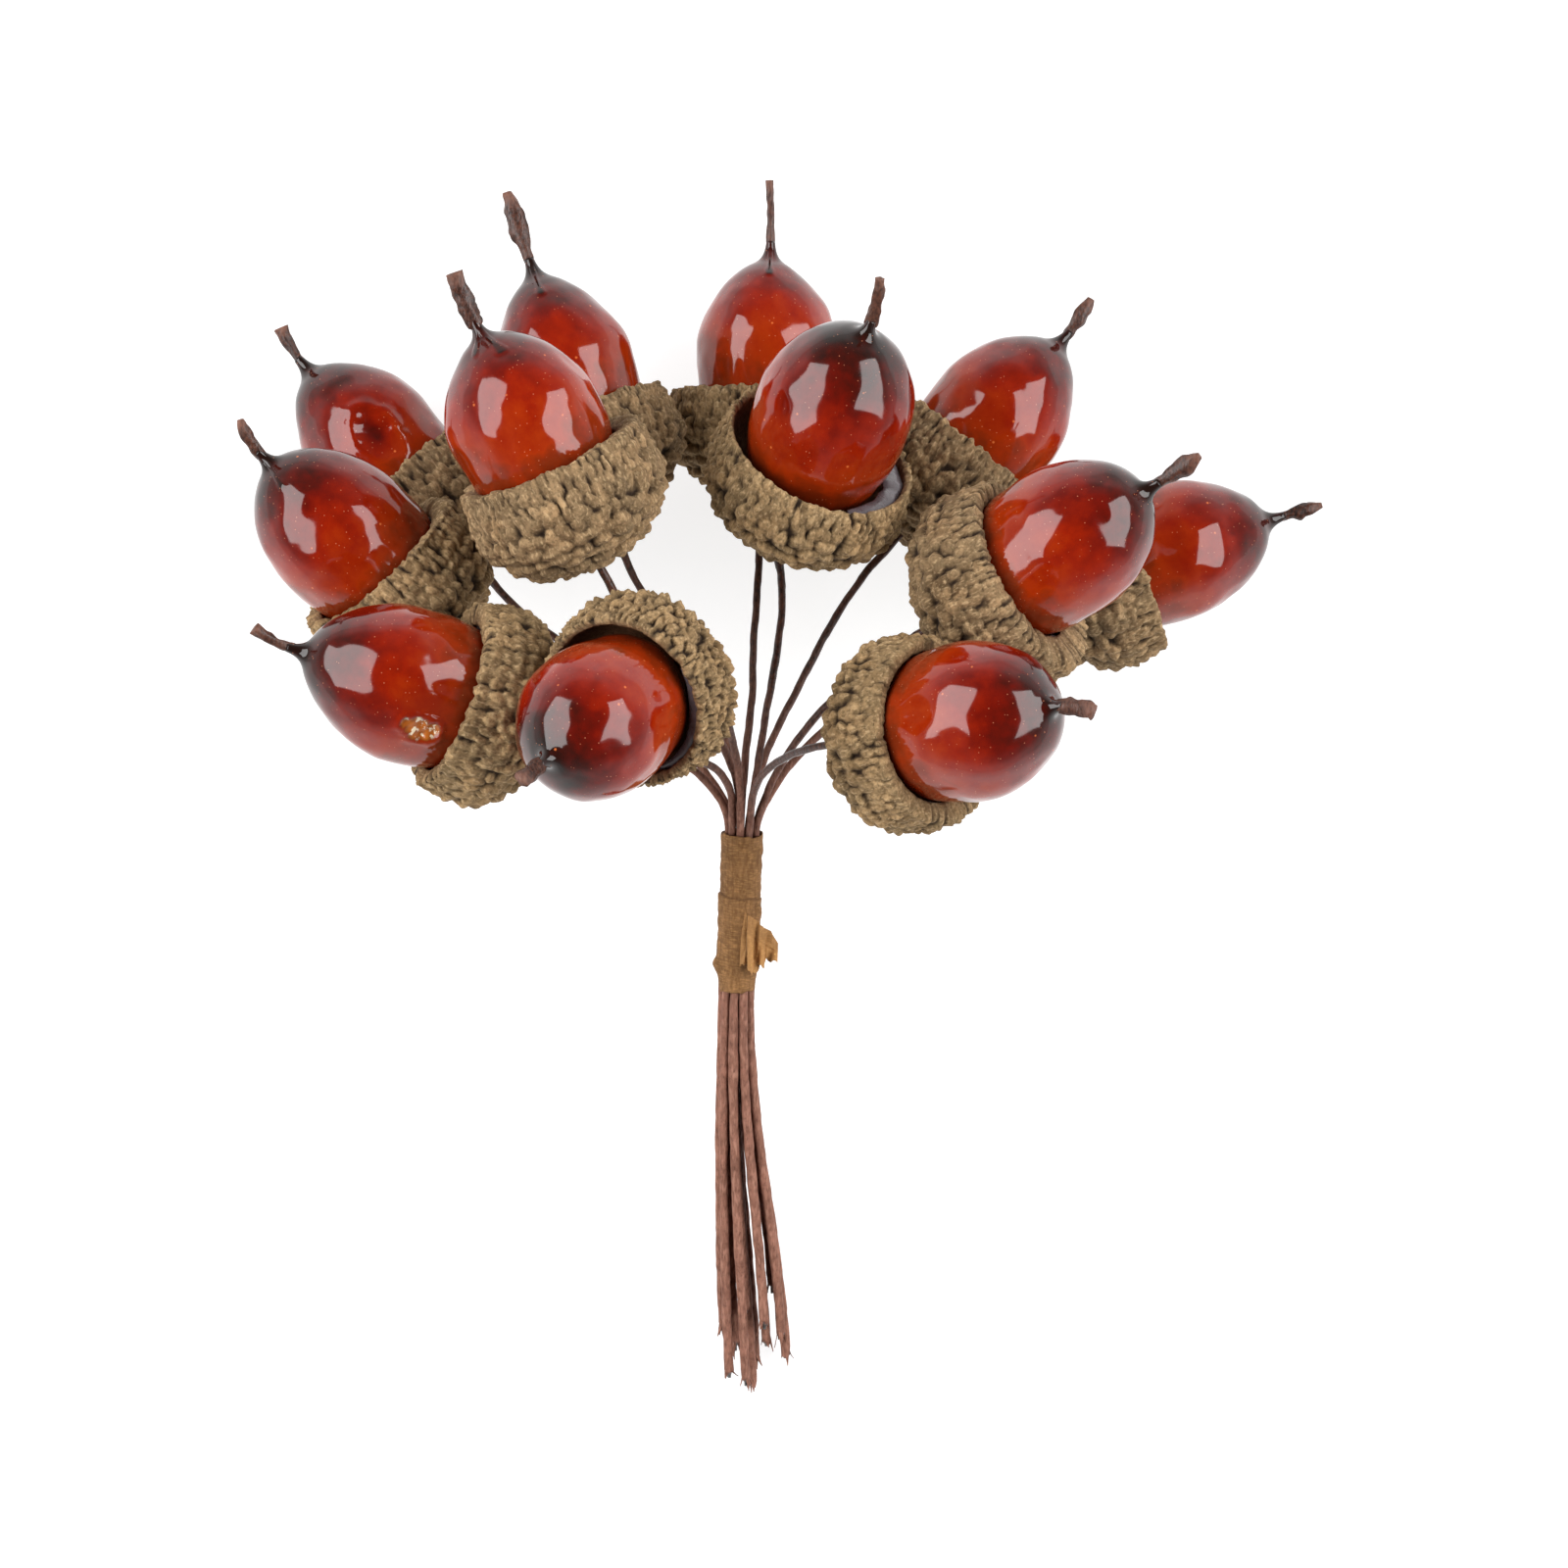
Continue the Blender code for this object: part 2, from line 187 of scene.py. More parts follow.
def tail_points(acorn, steps):
    """The free wire from its cut end up to the foot of the tape."""
    foot = TAPE_FOOT - LAYOUT_CENTRE
    slope = (TAPE_TOP - TAPE_FOOT).normalized()
    run = TAPE_FOOT - TAIL_END
    start = TAIL_END - LAYOUT_CENTRE + run.normalized() * acorn.tail_cut * MM
    start = start + ring_offset(acorn, run.normalized(), TAIL_SPREAD, TAIL_TWIST)
    end = foot + ring_offset(acorn, slope)
    reach = (end - start).length / 3
    handle_a = start + run.normalized() * reach
    handle_b = end - slope * reach
    return [bezier(start, handle_a, handle_b, end, step / steps) for step in range(steps)]


def fan_points(acorn, steps):
    """The wire from the top of the tape round to the foot of the acorn's cup."""
    slope = (TAPE_TOP - TAPE_FOOT).normalized()
    along = direction(acorn.heading, acorn.lift)
    start = TAPE_TOP - LAYOUT_CENTRE + ring_offset(acorn, slope)
    side, _ = upright_frame(along)
    end = cup_foot(acorn, STEM_LEAD)
    handle_a = start + slope * acorn.leave * MM
    handle_b = end - along * acorn.arrive * MM - side * acorn.sway * MM
    return [bezier(start, handle_a, handle_b, end, step / steps) for step in range(steps)]


def stalk_points(acorn, steps):
    """The wire's bent end beyond the nut's tip."""
    along = direction(acorn.heading, acorn.lift)
    bent = direction(acorn.heading + 2 * acorn.stalk_turn, acorn.lift)
    tip = rim_point(acorn) + along * (acorn.nut_length + 1) * MM
    handle = tip + along * acorn.stalk_length * 0.5 * MM
    end = handle + bent * acorn.stalk_length * 0.5 * MM
    return [
        bezier(tip, between(tip, handle, 0.67), between(end, handle, 0.67), end, step / steps)
        for step in range(steps + 1)
    ]


# ---------------------------------------------------------------- shared shape tools

RANDOM_CELLS = 32
RANDOM_LATTICE = np.random.default_rng(7).random((RANDOM_CELLS,) * 3) * 2 - 1


def wander(points, size, seed=0):
    """Smooth random values between -1 and 1 that change over about this many metres."""
    scaled = np.asarray(points) / size + seed * 7.31
    cell = np.floor(scaled).astype(int)
    part = scaled - cell
    part = part * part * (3 - 2 * part)
    total = np.zeros(scaled.shape[:-1])
    for corner in product((0, 1), repeat=3):
        index = (cell + corner) % RANDOM_CELLS
        weight = np.prod(np.where(corner, part, 1 - part), axis=-1)
        total += weight * RANDOM_LATTICE[index[..., 0], index[..., 1], index[..., 2]]
    return total


def rough(points, size, seed=0, octaves=3):
    """Several sizes of wander added up, the finer the weaker."""
    return sum(wander(points, size / 2**k, seed + k) / 2**k for k in range(octaves))


def smooth_step(low, high, value):
    """0 at low and 1 at high, smooth between them and level beyond; low may be the larger of the two."""
    share = np.clip((value - low) / (high - low), 0, 1)
    return share * share * (3 - 2 * share)


def stand_on_table(points, matrix):
    """Flatten whatever of a shape would reach below the table, along the table's own upright."""
    turn = np.array(matrix.to_3x3())
    depth = points @ turn[2] + matrix.translation.z
    points -= np.minimum(depth, 0)[..., None] * turn[2]


def quarter(radius, height, corner, count, fullness):
    """Points round a quarter of an oval, from (radius, corner) until just short of (0, height)."""
    angle = np.linspace(0, pi / 2, count, endpoint=False)
    across = radius * np.cos(angle) ** (2 / fullness)
    along = corner + (height - corner) * np.sin(angle) ** (2 / fullness)
    return np.stack([across, along], axis=1)


def evenly(outline, spacing):
    """An outline's points again, this far apart along it, and the distance of each from its start."""
    outline = np.asarray(outline, float)
    steps = np.linalg.norm(np.diff(outline, axis=0), axis=1)
    length = np.concatenate([[0], np.cumsum(steps)])
    count = max(2, int(round(length[-1] / spacing)) + 1)
    at = np.linspace(0, length[-1], count)
    fresh = np.stack([np.interp(at, length, outline[:, k]) for k in range(outline.shape[1])], axis=1)
    return fresh, at


def about_axis(radius, angle, height):
    """Points at these radii, angles and heights about the Z axis."""
    radius, angle, height = np.broadcast_arrays(radius, angle, height)
    return np.stack([radius * np.cos(angle), radius * np.sin(angle), height], axis=-1)


def hump(value, middle, reach):
    """1 where value is at middle, fading to nothing on both sides over about this reach."""
    return np.exp(-(((value - middle) / reach) ** 2))


def turned_from(angle, way):
    """How far each angle is turned from another one, between minus and plus half a turn."""
    return (angle - way + pi) % tau - pi


def wall_faces(rows, columns):
    """Quads between rings of points, with the last ring joined to the first as well."""
    row, column = np.meshgrid(np.arange(rows), np.arange(columns), indexing="ij")
    below = (row + 1) % rows
    after = (column + 1) % columns
    corners = [
        row * columns + column,
        row * columns + after,
        below * columns + after,
        below * columns + column,
    ]
    return np.stack([corner.ravel() for corner in corners], axis=1)


def shell_faces(rows, columns):
    """Quads that face out, for rings that run up the outside and back down the inside, or round the bore."""
    return wall_faces(rows, columns)[:, ::-1].tolist()


def add_mesh(name, points, faces, finish, tints, matrix=None, stands_for=()):
    """Make a smooth mesh piece that rides on the bunch and stands for its CAD node, if it has one."""
    data = bpy.data.meshes.new(name)
    data.from_pydata(points.reshape(-1, 3).tolist(), [], faces)
    for label, values in tints.items():
        layer = data.attributes.new(label, "FLOAT", "POINT")
        layer.data.foreach_set("value", np.asarray(values, np.float32).ravel())
    data.shade_smooth()
    data.materials.append(finish)
    made = bpy.data.objects.new(name, data)
    if matrix is not None:
        made.matrix_world = matrix
    bpy.context.scene.collection.objects.link(made)
    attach(made, "root")
    if stands_for:
        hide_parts(*stands_for)


# ---------------------------------------------------------------- materials


class Nodes:
    """A material's node tree, with short ways to add and join nodes."""

    def __init__(self, name):
        self.material = bpy.data.materials.new(name)
        self.material.use_nodes = True
        self.tree = self.material.node_tree
        self.shader = self.tree.nodes["Principled BSDF"]

    def add(self, kind, inputs=None, **settings):
        node = self.tree.nodes.new("ShaderNode" + kind)
        for key, value in settings.items():
            setattr(node, key, value)
        for key, value in (inputs or {}).items():
            self.feed(node.inputs[key], value)
        return node

    def feed(self, socket, value):
        if isinstance(value, bpy.types.NodeSocket):
            self.tree.links.new(value, socket)
        else:
            socket.default_value = value

    def set(self, **values):
        for key, value in values.items():
            self.feed(self.shader.inputs[key.replace("_", " ")], value)

    def tint(self, label):
        return self.add("Attribute", attribute_name=label).outputs["Fac"]

    def place(self):
        return self.add("TexCoord").outputs["Object"]

    def noise(self, size, detail=3.0, stretch=None, roughness=0.5):
        """Noise with features of about this many metres, longer where stretch is below 1."""
        where = self.place()
        if stretch:
            where = self.add("Mapping", {"Vector": where, "Scale": stretch}).outputs[0]
        inputs = {"Vector": where, "Scale": 1 / size, "Detail": detail, "Roughness": roughness}
        return self.add("TexNoise", inputs).outputs["Fac"]

    def specks(self, cell, radius, share):
        """1 in small round specks and 0 between them. The smaller the share, the fewer cells have one."""
        cells = self.add("TexVoronoi", {"Vector": self.place(), "Scale": 1 / cell}, feature="F1")
        stops = [(0.0, 1.0), (radius * 0.7, 1.0), (radius * 1.3, 0.0)]
        spot = self.ramp(cells.outputs["Distance"], stops)
        pick = self.ramp(cells.outputs["Color"], [(0.0, 0.0), (1 - share, 0.0), (1 - share + 0.05, 1.0)])
        return self.maths("MULTIPLY", spot, pick)

    def ramp(self, value, stops):
        """A colour, or a grey for a plain number, looked up from a value."""
        node = self.add("ValToRGB", {"Fac": value})
        elements = node.color_ramp.elements
        while len(elements) < len(stops):
            elements.new(0.5)
        for element, (position, colour) in zip(elements, stops):
            element.position = position
            grey = isinstance(colour, (int, float))
            element.color = (colour, colour, colour, 1) if grey else (*colour, 1)
        return node.outputs["Color"]

    def mix(self, factor, low, high):
        """Low where the factor is 0, high where it is 1, and mixed between."""
        node = self.add("Mix", data_type="RGBA")
        self.feed(node.inputs["Factor"], factor)
        for socket, value in ((node.inputs[6], low), (node.inputs[7], high)):
            self.feed(socket, (*value, 1) if isinstance(value, tuple) else value)
        return node.outputs[2]

    def maths(self, operation, first, second):
        node = self.add("Math", operation=operation)
        self.feed(node.inputs[0], first)
        self.feed(node.inputs[1], second)
        return node.outputs[0]

    def scaled(self, value, gain):
        return self.maths("MULTIPLY", value, gain)

    def nudged(self, value, noise, gain):
        """A value raised and lowered by a noise, whose middle is 0.5."""
        return self.maths("ADD", value, self.scaled(self.maths("SUBTRACT", noise, 0.5), gain))

    def bump(self, height, strength, depth):
        inputs = {"Height": height, "Strength": strength, "Distance": depth}
        return self.add("Bump", inputs).outputs["Normal"]


def srgb(*values):
    """A colour given as 0 to 255 screen values, in linear light."""
    return tuple(((v / 255 + 0.055) / 1.055) ** 2.4 if v > 10 else v / 255 / 12.92 for v in values)


def lacquer_material():
    """Deep red-brown lacquer, orange where it is thin and nearly black where it gathers at the tip, with
    painted shade at its foot inside the cup.
    """
    nodes = Nodes("red_lacquer")
    along = nodes.tint("along")
    patches = nodes.noise(7 * MM, 3.0)
    clouds = nodes.noise(2.6 * MM, 3.0, roughness=0.6)
    streaks = nodes.noise(2.2 * MM, 3.0, stretch=(1, 1, 0.22))
    shade = nodes.nudged(along, patches, 0.7)
    shade = nodes.nudged(shade, clouds, 0.45)
    shade = nodes.nudged(shade, streaks, 0.2)
    body = nodes.ramp(
        shade,
        [
            # the first stop is darker than the next: painted shade at the nut's foot, where it goes into the
            # cup
            (0.0, srgb(116, 36, 8)),
            (0.15, srgb(144, 41, 6)),
            (0.36, srgb(128, 25, 4)),
            (0.6, srgb(94, 14, 5)),
            (0.8, srgb(58, 13, 7)),
            (0.95, srgb(28, 14, 10)),
        ],
    )
    small = nodes.specks(0.7 * MM, 0.095, 0.75)
    large = nodes.specks(2.3 * MM, 0.07, 0.45)
    colour = nodes.mix(nodes.scaled(small, 0.5), body, srgb(214, 136, 100))
    colour = nodes.mix(nodes.scaled(large, 0.55), colour, srgb(226, 120, 62))
    chip = nodes.tint("chip")
    flake = nodes.ramp(nodes.noise(0.8 * MM, 3.0), [(0.54, 0.0), (0.6, 1.0)])
    husk = nodes.mix(flake, srgb(178, 98, 34), srgb(246, 228, 196))
    husk = nodes.mix(nodes.ramp(chip, [(0.0, 1.0), (0.75, 0.0)]), husk, srgb(84, 30, 12))
    colour = nodes.mix(nodes.ramp(chip, [(0.1, 0.0), (0.35, 1.0)]), colour, husk)
    peel = nodes.noise(1.2 * MM, 2.0)
    nodes.set(
        Base_Color=colour,
        Roughness=0.5,
        Specular_IOR_Level=0.0,
        Coat_Weight=1.0,
        Coat_Roughness=0.085,
        Coat_IOR=1.46,
        Normal=nodes.bump(nodes.maths("ADD", peel, nodes.scaled(small, 0.35)), 0.16, 0.2 * MM),
    )
    return nodes.material


def cup_material(name, light, dark, grey):
    """Dry scales: a random tone with painted light on the raised part of each scale, painted shade in the
    creases, a fine grain and grey weathering.
    """
    nodes = Nodes(name)
    tone = nodes.tint("tone")
    crease_shade = nodes.tint("crease_shade")
    inside = nodes.tint("inside")
    grain = nodes.noise(0.5 * MM, 4.0, roughness=0.65)
    fibre = nodes.noise(0.35 * MM, 2.0, stretch=(1, 1, 0.4))
    weather = nodes.noise(5 * MM, 3.0)
    # tone runs from dark to light: a random tone for each scale, with painted light on its raised part
    colour = nodes.mix(tone, dark, light)
    colour = nodes.mix(nodes.ramp(weather, [(0.35, 0.0), (0.65, 0.65)]), colour, grey)
    colour = nodes.mix(nodes.ramp(grain, [(0.34, 0.7), (0.56, 0.0)]), colour, srgb(80, 64, 42))
    colour = nodes.mix(nodes.ramp(fibre, [(0.52, 0.0), (0.7, 0.45)]), colour, srgb(206, 176, 134))
    # painted shade in the creases between scales and along the outer lip
    colour = nodes.mix(crease_shade, colour, srgb(40, 27, 16))
    lining = nodes.mix(grain, srgb(84, 54, 36), srgb(136, 96, 66))
    colour = nodes.mix(inside, colour, lining)
    nodes.set(
        Base_Color=colour,
        Roughness=nodes.ramp(inside, [(0.0, 0.92), (1.0, 0.5)]),
        Specular_IOR_Level=0.25,
        Normal=nodes.bump(nodes.maths("ADD", grain, fibre), 0.8, 0.18 * MM),
    )
    return nodes.material


def stem_material():
    """Wound brown paper on a steel core: dull at the cut end, dark and shiny near the cups."""
    nodes = Nodes("wound_paper")
    lacquer = nodes.tint("lacquer")
    core = nodes.tint("core")
    fibres = nodes.noise(0.4 * MM, 4.0, stretch=(1, 0.5, 1), roughness=0.65)
    strands = nodes.noise(0.3 * MM, 3.0, stretch=(1, 0.16, 0.6))
    blotch = nodes.noise(3 * MM, 3.0)
    paper = nodes.mix(nodes.ramp(blotch, [(0.3, 0.0), (0.7, 1.0)]), srgb(110, 72, 57), srgb(140, 95, 78))
    paper = nodes.mix(nodes.ramp(fibres, [(0.3, 0.7), (0.54, 0.0)]), paper, srgb(74, 42, 31))
    paper = nodes.mix(nodes.ramp(strands, [(0.5, 0.0), (0.68, 0.5)]), paper, srgb(174, 128, 108))
    wet = nodes.mix(nodes.ramp(fibres, [(0.4, 0.0), (0.65, 1.0)]), srgb(30, 16, 12), srgb(78, 44, 32))
    colour = nodes.mix(lacquer, paper, wet)
    colour = nodes.mix(core, colour, srgb(120, 118, 116))
    rough_paper = nodes.mix(lacquer, (0.82,) * 3, (0.22,) * 3)
    nodes.set(
        Base_Color=colour,
        Roughness=nodes.mix(core, rough_paper, (0.35,) * 3),
        Metallic=core,
        Specular_IOR_Level=0.35,
        Normal=nodes.bump(nodes.maths("ADD", fibres, strands), 0.7, 0.12 * MM),
    )
    return nodes.material


def tape_material():
    """Waxy crepe tape: khaki brown with fine lengthways crinkles, painted shade along the edges of its turns,
    in its creases and at its folds, and painted light and golden glints on its torn end.
    """
    nodes = Nodes("crepe_tape")
    crinkle = nodes.noise(0.45 * MM, 4.0, stretch=(1, 1, 0.3), roughness=0.65)
    weave = nodes.noise(0.3 * MM, 3.0, stretch=(0.35, 0.35, 1.6))
    blotch = nodes.noise(3 * MM, 3.0)
    edge = nodes.tint("edge")
    glint = nodes.tint("glint")
    colour = nodes.mix(nodes.ramp(blotch, [(0.35, 0.0), (0.65, 1.0)]), srgb(112, 80, 48), srgb(134, 97, 61))
    colour = nodes.mix(nodes.ramp(weave, [(0.36, 0.55), (0.54, 0.0)]), colour, srgb(168, 124, 76))
    colour = nodes.mix(nodes.ramp(crinkle, [(0.36, 0.65), (0.58, 0.0)]), colour, srgb(92, 60, 30))
    # painted light: the torn end is lighter than the wrap, with painted golden glints below
    colour = nodes.mix(nodes.scaled(glint, 0.6), colour, srgb(192, 142, 86))
    # edge carries painted shade: along the edges of the turns, in the creases, on the wrap's inner side and at
    # the torn end's folds
    colour = nodes.mix(nodes.scaled(edge, 0.7), colour, srgb(62, 40, 22))
    golden = nodes.specks(0.3 * MM, 0.24, 0.35)
    golden = nodes.maths("MULTIPLY", golden, nodes.ramp(glint, [(0.6, 0.0), (1.0, 0.8)]))
    colour = nodes.mix(golden, colour, srgb(226, 186, 100))
    grain = nodes.maths("ADD", crinkle, nodes.scaled(weave, 0.6))
    nodes.set(
        Base_Color=colour,
        Roughness=0.75,
        Specular_IOR_Level=0.2,
        Normal=nodes.bump(grain, 0.8, 0.15 * MM),
    )
    return nodes.material


def glue_material():
    """Set hot glue: cloudy and grey, with a soft shine."""
    nodes = Nodes("hot_glue")
    cloud = nodes.noise(1.2 * MM, 3.0)
    colour = nodes.mix(cloud, srgb(78, 66, 66), srgb(140, 132, 138))
    nodes.set(
        Base_Color=colour,
        Roughness=0.18,
        Transmission_Weight=0.45,
        IOR=1.48,
        Normal=nodes.bump(cloud, 0.3, 0.2 * MM),
    )
    return nodes.material


def floor_material():
    """Plain white board with a barely seen tone."""
    nodes = Nodes("white_board")
    tone = nodes.noise(0.15, 3.0)
    nodes.set(
        Base_Color=nodes.mix(tone, (0.34,) * 3, (0.38,) * 3),
        Roughness=0.8,
        Specular_IOR_Level=0.1,
        Emission_Color=(1.0,) * 4,
        Emission_Strength=0.78,
    )
    return nodes.material


# ---------------------------------------------------------------- nuts

NUT_AROUND = 144
NUT_ROW_SPACING = 0.3 * MM
NUT_BORE = 0.56 * MM
NECK_REACH = 2.3 * MM

# How much darker than usual each nut is, as a share of its length along the shading
NUT_DARKNESS = [0.0, 0.0, 0.05, -0.06, 0.0, -0.12, 0.05, -0.02, -0.02, 0.0, -0.06, -0.02]

# Runs of dark lacquer below the neck. Way is in degrees round the nut, and the sizes are in mm.
Drip = namedtuple("Drip", "nut way low high wide")
DRIPS = [
    Drip(4, 107, 15.6, 17.8, 1.1),
    Drip(4, 60, 16.6, 17.8, 0.6),
    Drip(5, 93, 16.2, 19.6, 0.75),
    Drip(6, 90, 15.8, 18.4, 0.7),
    Drip(2, 80, 17.2, 19.4, 0.6),
]

CHIPPED_NUT = 1
CHIP_WAY = 58
CHIP_HEIGHT = 4.7 * MM
DENTED_NUT = 3
DENT_WAY = 100
DENT_HEIGHT = 5.4 * MM


def nut_outline(acorn):
    """The nut's half outline, as (radius, height) from its seat round to its neck."""
    radius = acorn.nut_width / 2 * MM
    length = acorn.nut_length * MM
    seat = CUP_FLOOR + NUT_SEAT_GAP - acorn.cup_depth * MM
    lower = quarter(radius, seat, NUT_WIDEST, 40, 2.3)[::-1]
    upper = quarter(radius, length, NUT_WIDEST, 60, acorn.fullness)
    shoulder = upper[upper[:, 0] > 3.3 * MM]
    last, before = shoulder[-1], shoulder[-3]
    heading = (last - before) / np.linalg.norm(last - before)
    start = Vector(last)
    top = Vector((0.62 * MM, length + NECK_REACH))
    handle_a = start + Vector(heading) * 1.6 * MM
    handle_b = top + Vector((0.2 * MM, -2.8 * MM))
    neck = [bezier(start, handle_a, handle_b, top, share) for share in np.linspace(0.08, 1, 20)]
    return np.concatenate([[(NUT_BORE, seat)], lower, shoulder[1:], np.array(neck), [(NUT_BORE, top.y)]])


def drip_cover(nut, radius, angle, height):
    """Where runs of lacquer lie on a nut: 1 in the middle of one, and 0 where there is none."""
    cover = np.zeros_like(radius)
    for drip in DRIPS:
        if drip.nut == nut:
            aside = turned_from(angle, radians(drip.way)) * np.maximum(radius, 0.6 * MM)
            half_width = drip.wide * MM * (0.5 + 0.5 * hump(height, drip.low * MM, 0.7 * MM))
            reach = smooth_step(drip.low - 0.7, drip.low - 0.1, height / MM)
            reach *= 1 - smooth_step(drip.high, drip.high + 1, height / MM)
            cover = np.maximum(cover, np.sqrt(np.clip(1 - (aside / half_width) ** 2, 0, 1)) * reach)
    return cover


def chip_relief(radius, angle, height):
    """The chip in the lacquer: where its hole is, and how far the surface moves out, in mm."""
    aside = turned_from(angle, radians(CHIP_WAY)) * radius
    spot = np.stack([aside, height - CHIP_HEIGHT, 0 * height], -1)
    away = np.linalg.norm(spot * np.array([1, 0.8, 1]), axis=-1) + rough(spot, 1.5 * MM, 8) * 0.7 * MM
    hole = 1 - smooth_step(1.3 * MM, 2.0 * MM, away)
    raised_edge = 0.25 * hump(away, 2.15 * MM, 0.3 * MM)
    return hole, raised_edge - hole * (0.4 + 0.35 * rough(spot, 0.7 * MM))


def dent_relief(points, radius, angle, height):
    """The dent with a raised rim: how much darker it is, and how far the surface moves out, in mm."""
    aside = turned_from(angle, radians(DENT_WAY)) * radius
    away = np.hypot(aside / 1.15, (height - DENT_HEIGHT) / 1.9) + rough(points, 3 * MM, 12) * 0.5 * MM
    relief = 0.34 * hump(away, 2.6 * MM, 0.6 * MM) - 0.7 * hump(away, 0, 1.6 * MM)
    return 0.3 * hump(away, 0, 1.3 * MM), relief


def build_nut(index, acorn, finish):
    """One nut: an even body with soft dents, a drawn-out neck and runs of lacquer."""
    outline, _ = evenly(nut_outline(acorn), NUT_ROW_SPACING)
    angle = np.linspace(0, tau, NUT_AROUND, endpoint=False)
    radius = outline[:, :1] * np.ones_like(angle)
    height = outline[:, 1:] * np.ones_like(angle)
    smooth = about_axis(radius, angle, height)
    widest = acorn.nut_width / 2 * MM
    length = acorn.nut_length * MM

    full = smooth_step(0.0, 0.5, radius / widest)
    dents = wander(smooth, 8 * MM, index + 3) * 0.28 + wander(smooth, 3.8 * MM, index + 40) * 0.2
    dents += wander(smooth, 2.0 * MM, index + 50) * 0.075
    runs = wander(smooth * np.array([1, 1, 0.3]), 2.2 * MM, index + 80) * 0.07
    runs *= smooth_step(0.4, 0.9, height / length)
    drip = drip_cover(index + 1, radius, angle, height)
    fresh = radius + (dents * full + runs - 0.1 * full + 0.2 * drip) * MM
    from_tip = np.hypot(radius, np.maximum(length + 1 * MM - height, 0))
    along = 1 - from_tip / np.hypot(widest, length)
    chip = np.zeros_like(radius)
    if index == CHIPPED_NUT - 1:
        chip, relief = chip_relief(radius, angle, height)
        fresh += relief * MM
    if index == DENTED_NUT - 1:
        darker, relief = dent_relief(smooth, radius, angle, height)
        along = along + darker
        fresh += relief * MM
    shade = np.clip(along * 1.08 + NUT_DARKNESS[index], 0, 1)
    add_mesh(
        numbered("lacquered_nut", index),
        about_axis(fresh, angle, height),
        shell_faces(*fresh.shape),
        finish,
        tints={"along": np.maximum(shade, drip), "chip": chip},
        matrix=nut_place(acorn),
        stands_for=[numbered("nut", index)],
    )


# ---------------------------------------------------------------- cups

CUP_AROUND = 360
CUP_ROW_SPACING = 0.2 * MM
CUP_SKIN = 0.95 * MM
CUP_BORE = 0.62 * MM

# How far each cup's lip closes in on its nut, from 0 at the wall's own thickness to 1 right against it
SNUG = [0.95, 0.95, 0.95, 1.0, 0.95, 0.95, 0.0, 1.0, 0.95, 0.95, 1.0, 0.35]

# Where along a scale, from its tip to its root, it stands highest
FULLEST = 0.36

# How far the first row's tips lie from the hole in the foot, and how far the last row's may reach past the rim
FIRST_ROW = 1.6 * MM
LAST_ROW_BEYOND = 2.2 * MM

# What a cup's scales are like: their relief in mm, their width, and how pointed and uneven they are
Scales = namedtuple("Scales", "relief width pointed uneven")
USUAL_SCALES = Scales(1.2, 1.0, 0.45, 0.26)
WARTY_SCALES = Scales(1.25, 0.72, 0.8, 0.4)


def cup_outline(acorn):
    """The cup's outside, as (radius, height) from the hole in its foot to its rim."""
    outer = acorn.cup_width / 2 * MM - CUP_SKIN
    depth = acorn.cup_depth * MM - CUP_SKIN * 0.7
    side = quarter(outer, -depth, CUP_WIDEST, 80, 2.1)[::-1]
    rim = [(outer - 0.12 * MM, -2.6 * MM), (outer - 0.35 * MM, -0.9 * MM), (outer - 0.5 * MM, -0.25 * MM)]
    return np.concatenate([[(CUP_BORE, -depth)], side[side[:, 0] > CUP_BORE], rim])


def scale_rows(length, radius_at, kind):
    """The rows of scales from the foot to the rim: where, how many, how large, and how far along."""
    shares = [0, 0.3, 0.6, 0.8, 0.9, 1.0]
    widths = [2.2, 2.5, 2.2, 1.6, 1.2, 1.05]
    reaches = [2.4, 3.1, 3.3, 3.4, 3.6, 3.6]
    rows = []
    at = FIRST_ROW
    while at < length + LAST_ROW_BEYOND:
        share = min(at / length, 1.0)
        width = np.interp(share, shares, widths) * MM * kind.width
        reach = np.interp(share, shares, reaches) * MM * kind.width
        count = max(5, int(round(tau * radius_at(min(at, length)) / width)))
        rows.append((at, count, width, reach, share))
        at += np.interp(share, [0, 0.3, 0.7, 0.85, 1.0], [1.4, 1.75, 1.8, 1.7, 1.7]) * MM * kind.width
    return rows


